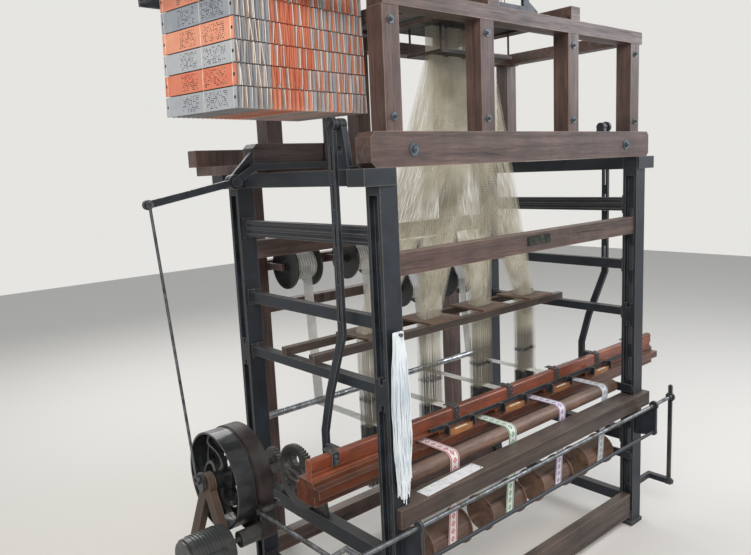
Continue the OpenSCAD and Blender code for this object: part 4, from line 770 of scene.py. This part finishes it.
# Pattern cards
# Stiff punched cards of laminated pulp board, 480 by 81 mm, some dyed orange and some
# grey-blue. White linen cord laces them 86 mm apart, at both ends and near the middle, and
# the chain hangs in folded runs from steel wires. The edges show the board in a duller tint.
CARD_LENGTH_MM = 480
CARD_PITCH_MM = 86
CARD_HEIGHT_MM = 81
CARD_EDGE_MM = 2.6  # the real board is about 1.5 mm; drawn thicker so that its edge shows
RUNS = 60
CARDS_PER_RUN = 6
PACK_WIDTH_MM = 750
PACK_MIDDLE = (-1270, -110)
PACK_TOP = 3170
PACK_TURN = math.radians(8)
ORANGE_RUNS = (15, 32)
CARD_MARGIN = 0.001
INNER_MARGIN = 0.06  # keeps the peg holes of the inner cards out of sight
LACE_AT = (-0.46, -0.06, 0.46)
LACE_MM = 2.2
LACE_SIDE_MM = 1.9
LACE_FRONT_MM = 2.4
HOLE_GRID = (72.0, 11.0, 1.0)
HOLE_PITCH_MM = (6.7, 7.4, 0.0)
HOLE_RADIUS_MM = 2.5
UNPUNCHED = 0.56
# Middles and half widths, as shares of a card: two fields of holes along it, one band of
# them across it, and the peg holes at its ends.
LEFT_FIELD = (0.27, 0.15)
RIGHT_FIELD = (0.63, 0.12)
HOLE_BAND = (0.5, 0.40)
PEG_FROM_MIDDLE = (0.475, 0.011)
PEG_ACROSS = (0.5, 0.075)


def card_finish(name, board, faded, edge):
    """U runs along the card, one whole number a card; V runs across it."""
    made, tree = material(name)
    face = add(tree, "ShaderNodeUVMap", uv_map="card")
    way = add(tree, "ShaderNodeSeparateXYZ", {0: face.outputs[0]})
    here = maths(tree, "FRACT", way.outputs["X"])
    number = maths(tree, "FLOOR", way.outputs["X"])
    cells = add(tree, "ShaderNodeVectorMath", {0: face.outputs[0], 1: HOLE_GRID}, operation="MULTIPLY")
    cell = add(tree, "ShaderNodeVectorMath", {0: cells.outputs[0]}, operation="FLOOR")
    inside = add(tree, "ShaderNodeVectorMath", {0: cells.outputs[0]}, operation="FRACTION")
    middle = add(tree, "ShaderNodeVectorMath", {0: inside.outputs[0], 1: (0.5, 0.5, 0.0)},
                 operation="SUBTRACT")
    real = add(tree, "ShaderNodeVectorMath", {0: middle.outputs[0], 1: HOLE_PITCH_MM},
               operation="MULTIPLY")
    far = add(tree, "ShaderNodeVectorMath", {0: real.outputs[0]}, operation="LENGTH")
    dot = maths(tree, "LESS_THAN", far.outputs["Value"], HOLE_RADIUS_MM)
    dice = add(tree, "ShaderNodeTexWhiteNoise", {"Vector": cell.outputs[0]}, noise_dimensions="3D")
    punched = maths(tree, "GREATER_THAN", dice.outputs[0], UNPUNCHED)
    left = maths(tree, "COMPARE", here, *LEFT_FIELD)
    right = maths(tree, "COMPARE", here, *RIGHT_FIELD)
    zone = maths(tree, "MAXIMUM", left, right)
    rows = maths(tree, "COMPARE", way.outputs["Y"], *HOLE_BAND)
    field = maths(tree, "MULTIPLY", zone, rows)
    holes = maths(tree, "MULTIPLY", dot, punched)
    needle = maths(tree, "MULTIPLY", holes, field)
    off = maths(tree, "SUBTRACT", here, 0.5)
    end = maths(tree, "ABSOLUTE", off)
    near = maths(tree, "COMPARE", end, *PEG_FROM_MIDDLE)
    level = maths(tree, "COMPARE", way.outputs["Y"], *PEG_ACROSS)
    peg = maths(tree, "MULTIPLY", near, level)
    hole = maths(tree, "MAXIMUM", needle, peg)
    own = add(tree, "ShaderNodeTexWhiteNoise", {"W": number}, noise_dimensions="1D")
    place = add(tree, "ShaderNodeTexCoord").outputs["Object"]
    cloud = noise(tree, place, 16.0, 6.0)
    both = maths(tree, "ADD", own.outputs[0], cloud)
    share = remap(tree, both, 0.45, 1.45, 0.0, 1.0)
    tint = mix_colour(tree, share, linear(board), linear(faded))
    flat = add(tree, "ShaderNodeNewGeometry")
    facing = add(tree, "ShaderNodeSeparateXYZ", {0: flat.outputs["Normal"]})
    level_y = maths(tree, "ABSOLUTE", facing.outputs["Y"])
    on_edge = maths(tree, "GREATER_THAN", level_y, 0.8)
    edged = mix_colour(tree, on_edge, tint, linear(edge))
    pierced = mix_colour(tree, hole, edged, linear("#1f1b1a"))
    pulp = noise(tree, place, 420.0, 3.0)
    sunk = maths(tree, "SUBTRACT", pulp, hole)
    rough = bumps(tree, sunk, 0.35, 0.0008)
    surface(tree, pierced, 0.72, {"Normal": rough})
    return made


orange_card = card_finish("orange_pulp_card", "#d2745a", "#e3a084", "#b9604a")
grey_card = card_finish("grey_blue_pulp_card", "#9199a3", "#b3b8be", "#8a8588")
pale_card = card_finish("bare_pulp_card", "#a08f86", "#c9bfb8", "#efece8")
ORANGE, GREY, PALE = range(3)


def add_card(bm, card_uv, number, colour, place, margin=CARD_MARGIN):
    """One card: a thin board, cut from a cube, placed by a matrix. Its height is its own Z."""
    made = bmesh.ops.create_cube(bm, size=1.0)["verts"]
    faces = {f for v in made for f in v.link_faces}
    for f in faces:
        f.material_index = colour
        for corner in f.loops:
            local = corner.vert.co
            corner[card_uv].uv = (number + margin + (local.y + 0.5) * (1 - 2 * margin), local.z + 0.5)
    bmesh.ops.transform(bm, matrix=place, verts=made)


pack_place = (Matrix.Translation(at(PACK_MIDDLE[0], PACK_MIDDLE[1], PACK_TOP)) @
              Matrix.Rotation(PACK_TURN, 4, "Z"))
run_step = PACK_WIDTH_MM / RUNS
chance = random.Random(5)
joints = []
for run in range(RUNS):
    going_up = run % 2 == 0
    line = []
    for joint in range(CARDS_PER_RUN + 1):
        down = CARDS_PER_RUN - joint if going_up else joint
        share = joint / CARDS_PER_RUN
        ripple = 0.0
        if 0 < joint < CARDS_PER_RUN:
            ripple = 2.6 * math.sin(run * 2.5 + down * math.pi) + chance.uniform(-3.0, 3.0)
        x = -PACK_WIDTH_MM / 2 + (run + share) * run_step + ripple
        line.append(Vector((x, 0.0, -down * CARD_PITCH_MM)))
    joints.append(line)


def card_colour(run, card):
    """Orange and grey cards take turns; seen from the end, whole runs look of one dye."""
    down = card if run % 2 else CARDS_PER_RUN - 1 - card
    if run == 0:
        return down % 2
    dice = (run * 7 + down * 3) % 10
    if ORANGE_RUNS[0] <= run <= ORANGE_RUNS[1]:
        return ORANGE if dice < 8 else PALE
    if run < ORANGE_RUNS[0]:
        return GREY if dice < 5 else PALE
    if dice < 3:
        return ORANGE
    return GREY if dice < 7 else PALE


def card_matrix(low, high):
    """Places a card between two joints, in millimetres of the pack's own axes."""
    way = high - low
    lean = Matrix.Rotation(math.atan2(way.x, way.z), 4, "Y")
    size = Matrix.Diagonal((CARD_EDGE_MM, CARD_LENGTH_MM, CARD_HEIGHT_MM, 1.0))
    return Matrix.Scale(0.001, 4) @ Matrix.Translation((low + high) / 2) @ lean @ size


def pack_shape(bm):
    card_uv = bm.loops.layers.uv.new("card")
    number = 0
    for run, line in enumerate(joints):
        for card, (low, high) in enumerate(zip(line, line[1:])):
            place = pack_place @ card_matrix(low, high)
            margin = CARD_MARGIN if run == 0 else INNER_MARGIN
            add_card(bm, card_uv, number, card_colour(run, card), place, margin)
            number += 1


pack = grow("folded_pattern_cards", pack_shape, orange_card, "loom_frame")
pack.data.materials.append(grey_card)
pack.data.materials.append(pale_card)
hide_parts("card_pack")

lacing = yarn_finish("white_lacing_cord", "#f0eee6", "#c8c3b4", None, 500.0)
lace_paths = []
for share in LACE_AT:
    y = share * CARD_LENGTH_MM
    path = []
    for run, line in enumerate(joints):
        for joint, (low, high) in enumerate(zip(line, line[1:])):
            side = LACE_SIDE_MM if (joint + run) % 2 else -LACE_SIDE_MM
            middle = (low + high) / 2
            path.append(pack_place @ (Vector((low.x, y, low.z)) / 1000))
            path.append(pack_place @ (Vector((middle.x - side, y, middle.z)) / 1000))
    lace_paths.append(path)
    for low, high in zip(joints[0], joints[0][1:]):
        ends = (low + (high - low) * 0.06, low + (high - low) * 0.94)
        lace_paths.append([pack_place @ (Vector((p.x - LACE_FRONT_MM, y, p.z)) / 1000) for p in ends])
laces = wires("card_lacing", lace_paths, LACE_MM / 2000, lacing, "loom_frame")


# Cards on their way to the head
# The same chain, on its way from the pack over the square cylinder and back. Three cards
# lie on the cylinder's sides, pressed flat by its pegs.
CYLINDER = (-405, 3400)
CYLINDER_FACE = 42.1
CYLINDER_CARD_HALF = 40
CHAIN_CORNER = (-449, 42.1)
CHAIN_FIRST_CARD = 300
CHAIN_FAR = (-1625, 3182)
CHAIN_NEAR = (-934, 3182)


def chain_line(start, end):
    """Cards laid in a straight row between two points, as pairs of joints in X and Z."""
    start = Vector((start[0], 0.0, start[1]))
    way = Vector((end[0], 0.0, end[1])) - start
    count = round(way.length / CARD_PITCH_MM)
    return [(start + way * n / count, start + way * (n + 1) / count) for n in range(count)]


def chain_shape(bm):
    card_uv = bm.loops.layers.uv.new("card")
    top = (CHAIN_CORNER[0], CYLINDER[1] + CHAIN_CORNER[1])
    low = (CHAIN_CORNER[0], CYLINDER[1] - CHAIN_CORNER[1])
    x, z = CYLINDER
    face = CYLINDER_FACE
    half = CYLINDER_CARD_HALF
    on_cylinder = [
        (Vector((x - half, 0, z + face)), Vector((x + half, 0, z + face))),
        (Vector((x + face, 0, z + half)), Vector((x + face, 0, z - half))),
        (Vector((x - half, 0, z - face)), Vector((x + half, 0, z - face))),
    ]
    rows = chain_line(CHAIN_FAR, top) + on_cylinder + chain_line(low, CHAIN_NEAR)
    move = Matrix.Translation(at(0, PACK_MIDDLE[1], 0))
    for number, (start, end) in enumerate(rows):
        add_card(bm, card_uv, CHAIN_FIRST_CARD + number, number % 2, move @ card_matrix(start, end))


chain = grow("cards_on_cylinder", chain_shape, orange_card, "cylinder_carriage")
chain.data.materials.append(grey_card)
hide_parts("card_chain")


# Yarn hank
# A loose hank of white cotton weft hung over a peg on the front left post. Its strands
# bunch at the peg, fan a little and end unevenly above the plank.
HANK_X = -1054
HANK_Y = -651
HANK_TOP = 1698
HANK_LOW = 905
HANK_STRANDS = 130
HANK_STEPS = 13
HANK_STRAND_RADIUS = 0.0021
PEG_RADIUS = 0.006
PEG_LENGTH = 0.050

hank_paths = []
chance = random.Random(23)
for _ in range(HANK_STRANDS):
    out = chance.uniform(-1, 1)
    front = chance.uniform(-1, 1)
    foot = HANK_LOW + abs(out) * 60 + chance.uniform(0, 90)
    wave = chance.uniform(0, math.tau)
    path = []
    for step in range(HANK_STEPS + 1):
        share = step / HANK_STEPS
        spread = 26 + 20 * min(1.0, share * 2.4) - 14 * max(0.0, share - 0.7) / 0.3
        path.append(at(HANK_X + out * spread + 3 * math.sin(wave + share * 21),
                       HANK_Y + front * (7 + 8 * min(1.0, share * 3)) + 2 * math.cos(wave + share * 17),
                       HANK_TOP + 8 * (1 - abs(front)) - (HANK_TOP - foot) * share))
    hank_paths.append(path)
hank_white = yarn_finish("blue_white_weft", "#f6fbff", "#c9d6e0")
hank = wires("white_yarn_hank", hank_paths, HANK_STRAND_RADIUS, hank_white, "loom_frame", 1)
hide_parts("yarn_hank")


def peg_shape(bm):
    shank = Matrix.Translation(at(HANK_X, -650, HANK_TOP - 4)) @ FORWARD
    disc(bm, shank, 20, PEG_RADIUS, PEG_RADIUS, PEG_LENGTH)
    cap = Matrix.Translation(at(HANK_X, -673, HANK_TOP - 4)) @ FORWARD
    disc(bm, cap, 20, 0.009, 0.008, 0.005)


peg = grow("hank_peg", peg_shape, bare_iron, "loom_frame")


# Measuring strip
# A bare strip of white varnished card, tacked flat on the breast plank with four brass
# tacks and thumbed grey at its ends.
STRIP_MIDDLE = (-690, -594, 890)
STRIP_SIZE = (0.415, 0.074, 0.0016)
STRIP_TURN = math.radians(2.5)
TACK_X = 0.198
TACK_Y = 0.028
TACK_RADIUS = 0.0035

strip_white, tree = material("varnished_white_card_strip")
place = add(tree, "ShaderNodeTexCoord").outputs["Object"]
thumbed = noise(tree, place, 26.0, 7.0, 0.7)
soiled = remap(tree, thumbed, 0.5, 0.72, 0.0, 0.7)
tone = mix_colour(tree, soiled, linear("#e6e9ec"), linear("#8f8c86"))
sheen = remap(tree, thumbed, 0.4, 0.7, 0.35, 0.6)
surface(tree, tone, sheen)


def strip_shape(bm):
    half = Vector(STRIP_SIZE) / 2
    plate_between(bm, -half, half, 0.0005)
    middle = at(*STRIP_MIDDLE) + Vector((0, 0, half.z))
    turn = Matrix.Translation(middle) @ Matrix.Rotation(STRIP_TURN, 4, "Z")
    bmesh.ops.transform(bm, matrix=turn, verts=bm.verts)


strip = grow("bare_measuring_strip", strip_shape, strip_white, "loom_frame")


def tack_shape(bm):
    turn = Matrix.Translation(at(*STRIP_MIDDLE)) @ Matrix.Rotation(STRIP_TURN, 4, "Z")
    for x in (-TACK_X, TACK_X):
        for y in (-TACK_Y, TACK_Y):
            where = turn @ Matrix.Translation((x, y, STRIP_SIZE[2])) @ Matrix.Diagonal((1, 1, 0.45, 1))
            bmesh.ops.create_uvsphere(bm, u_segments=12, v_segments=6, radius=TACK_RADIUS,
                                      matrix=where)


old_brass = metal_finish("tarnished_brass", "#4a3d26", "#8a7444", 0.42)
tacks = grow("strip_tacks", tack_shape, old_brass, "loom_frame")
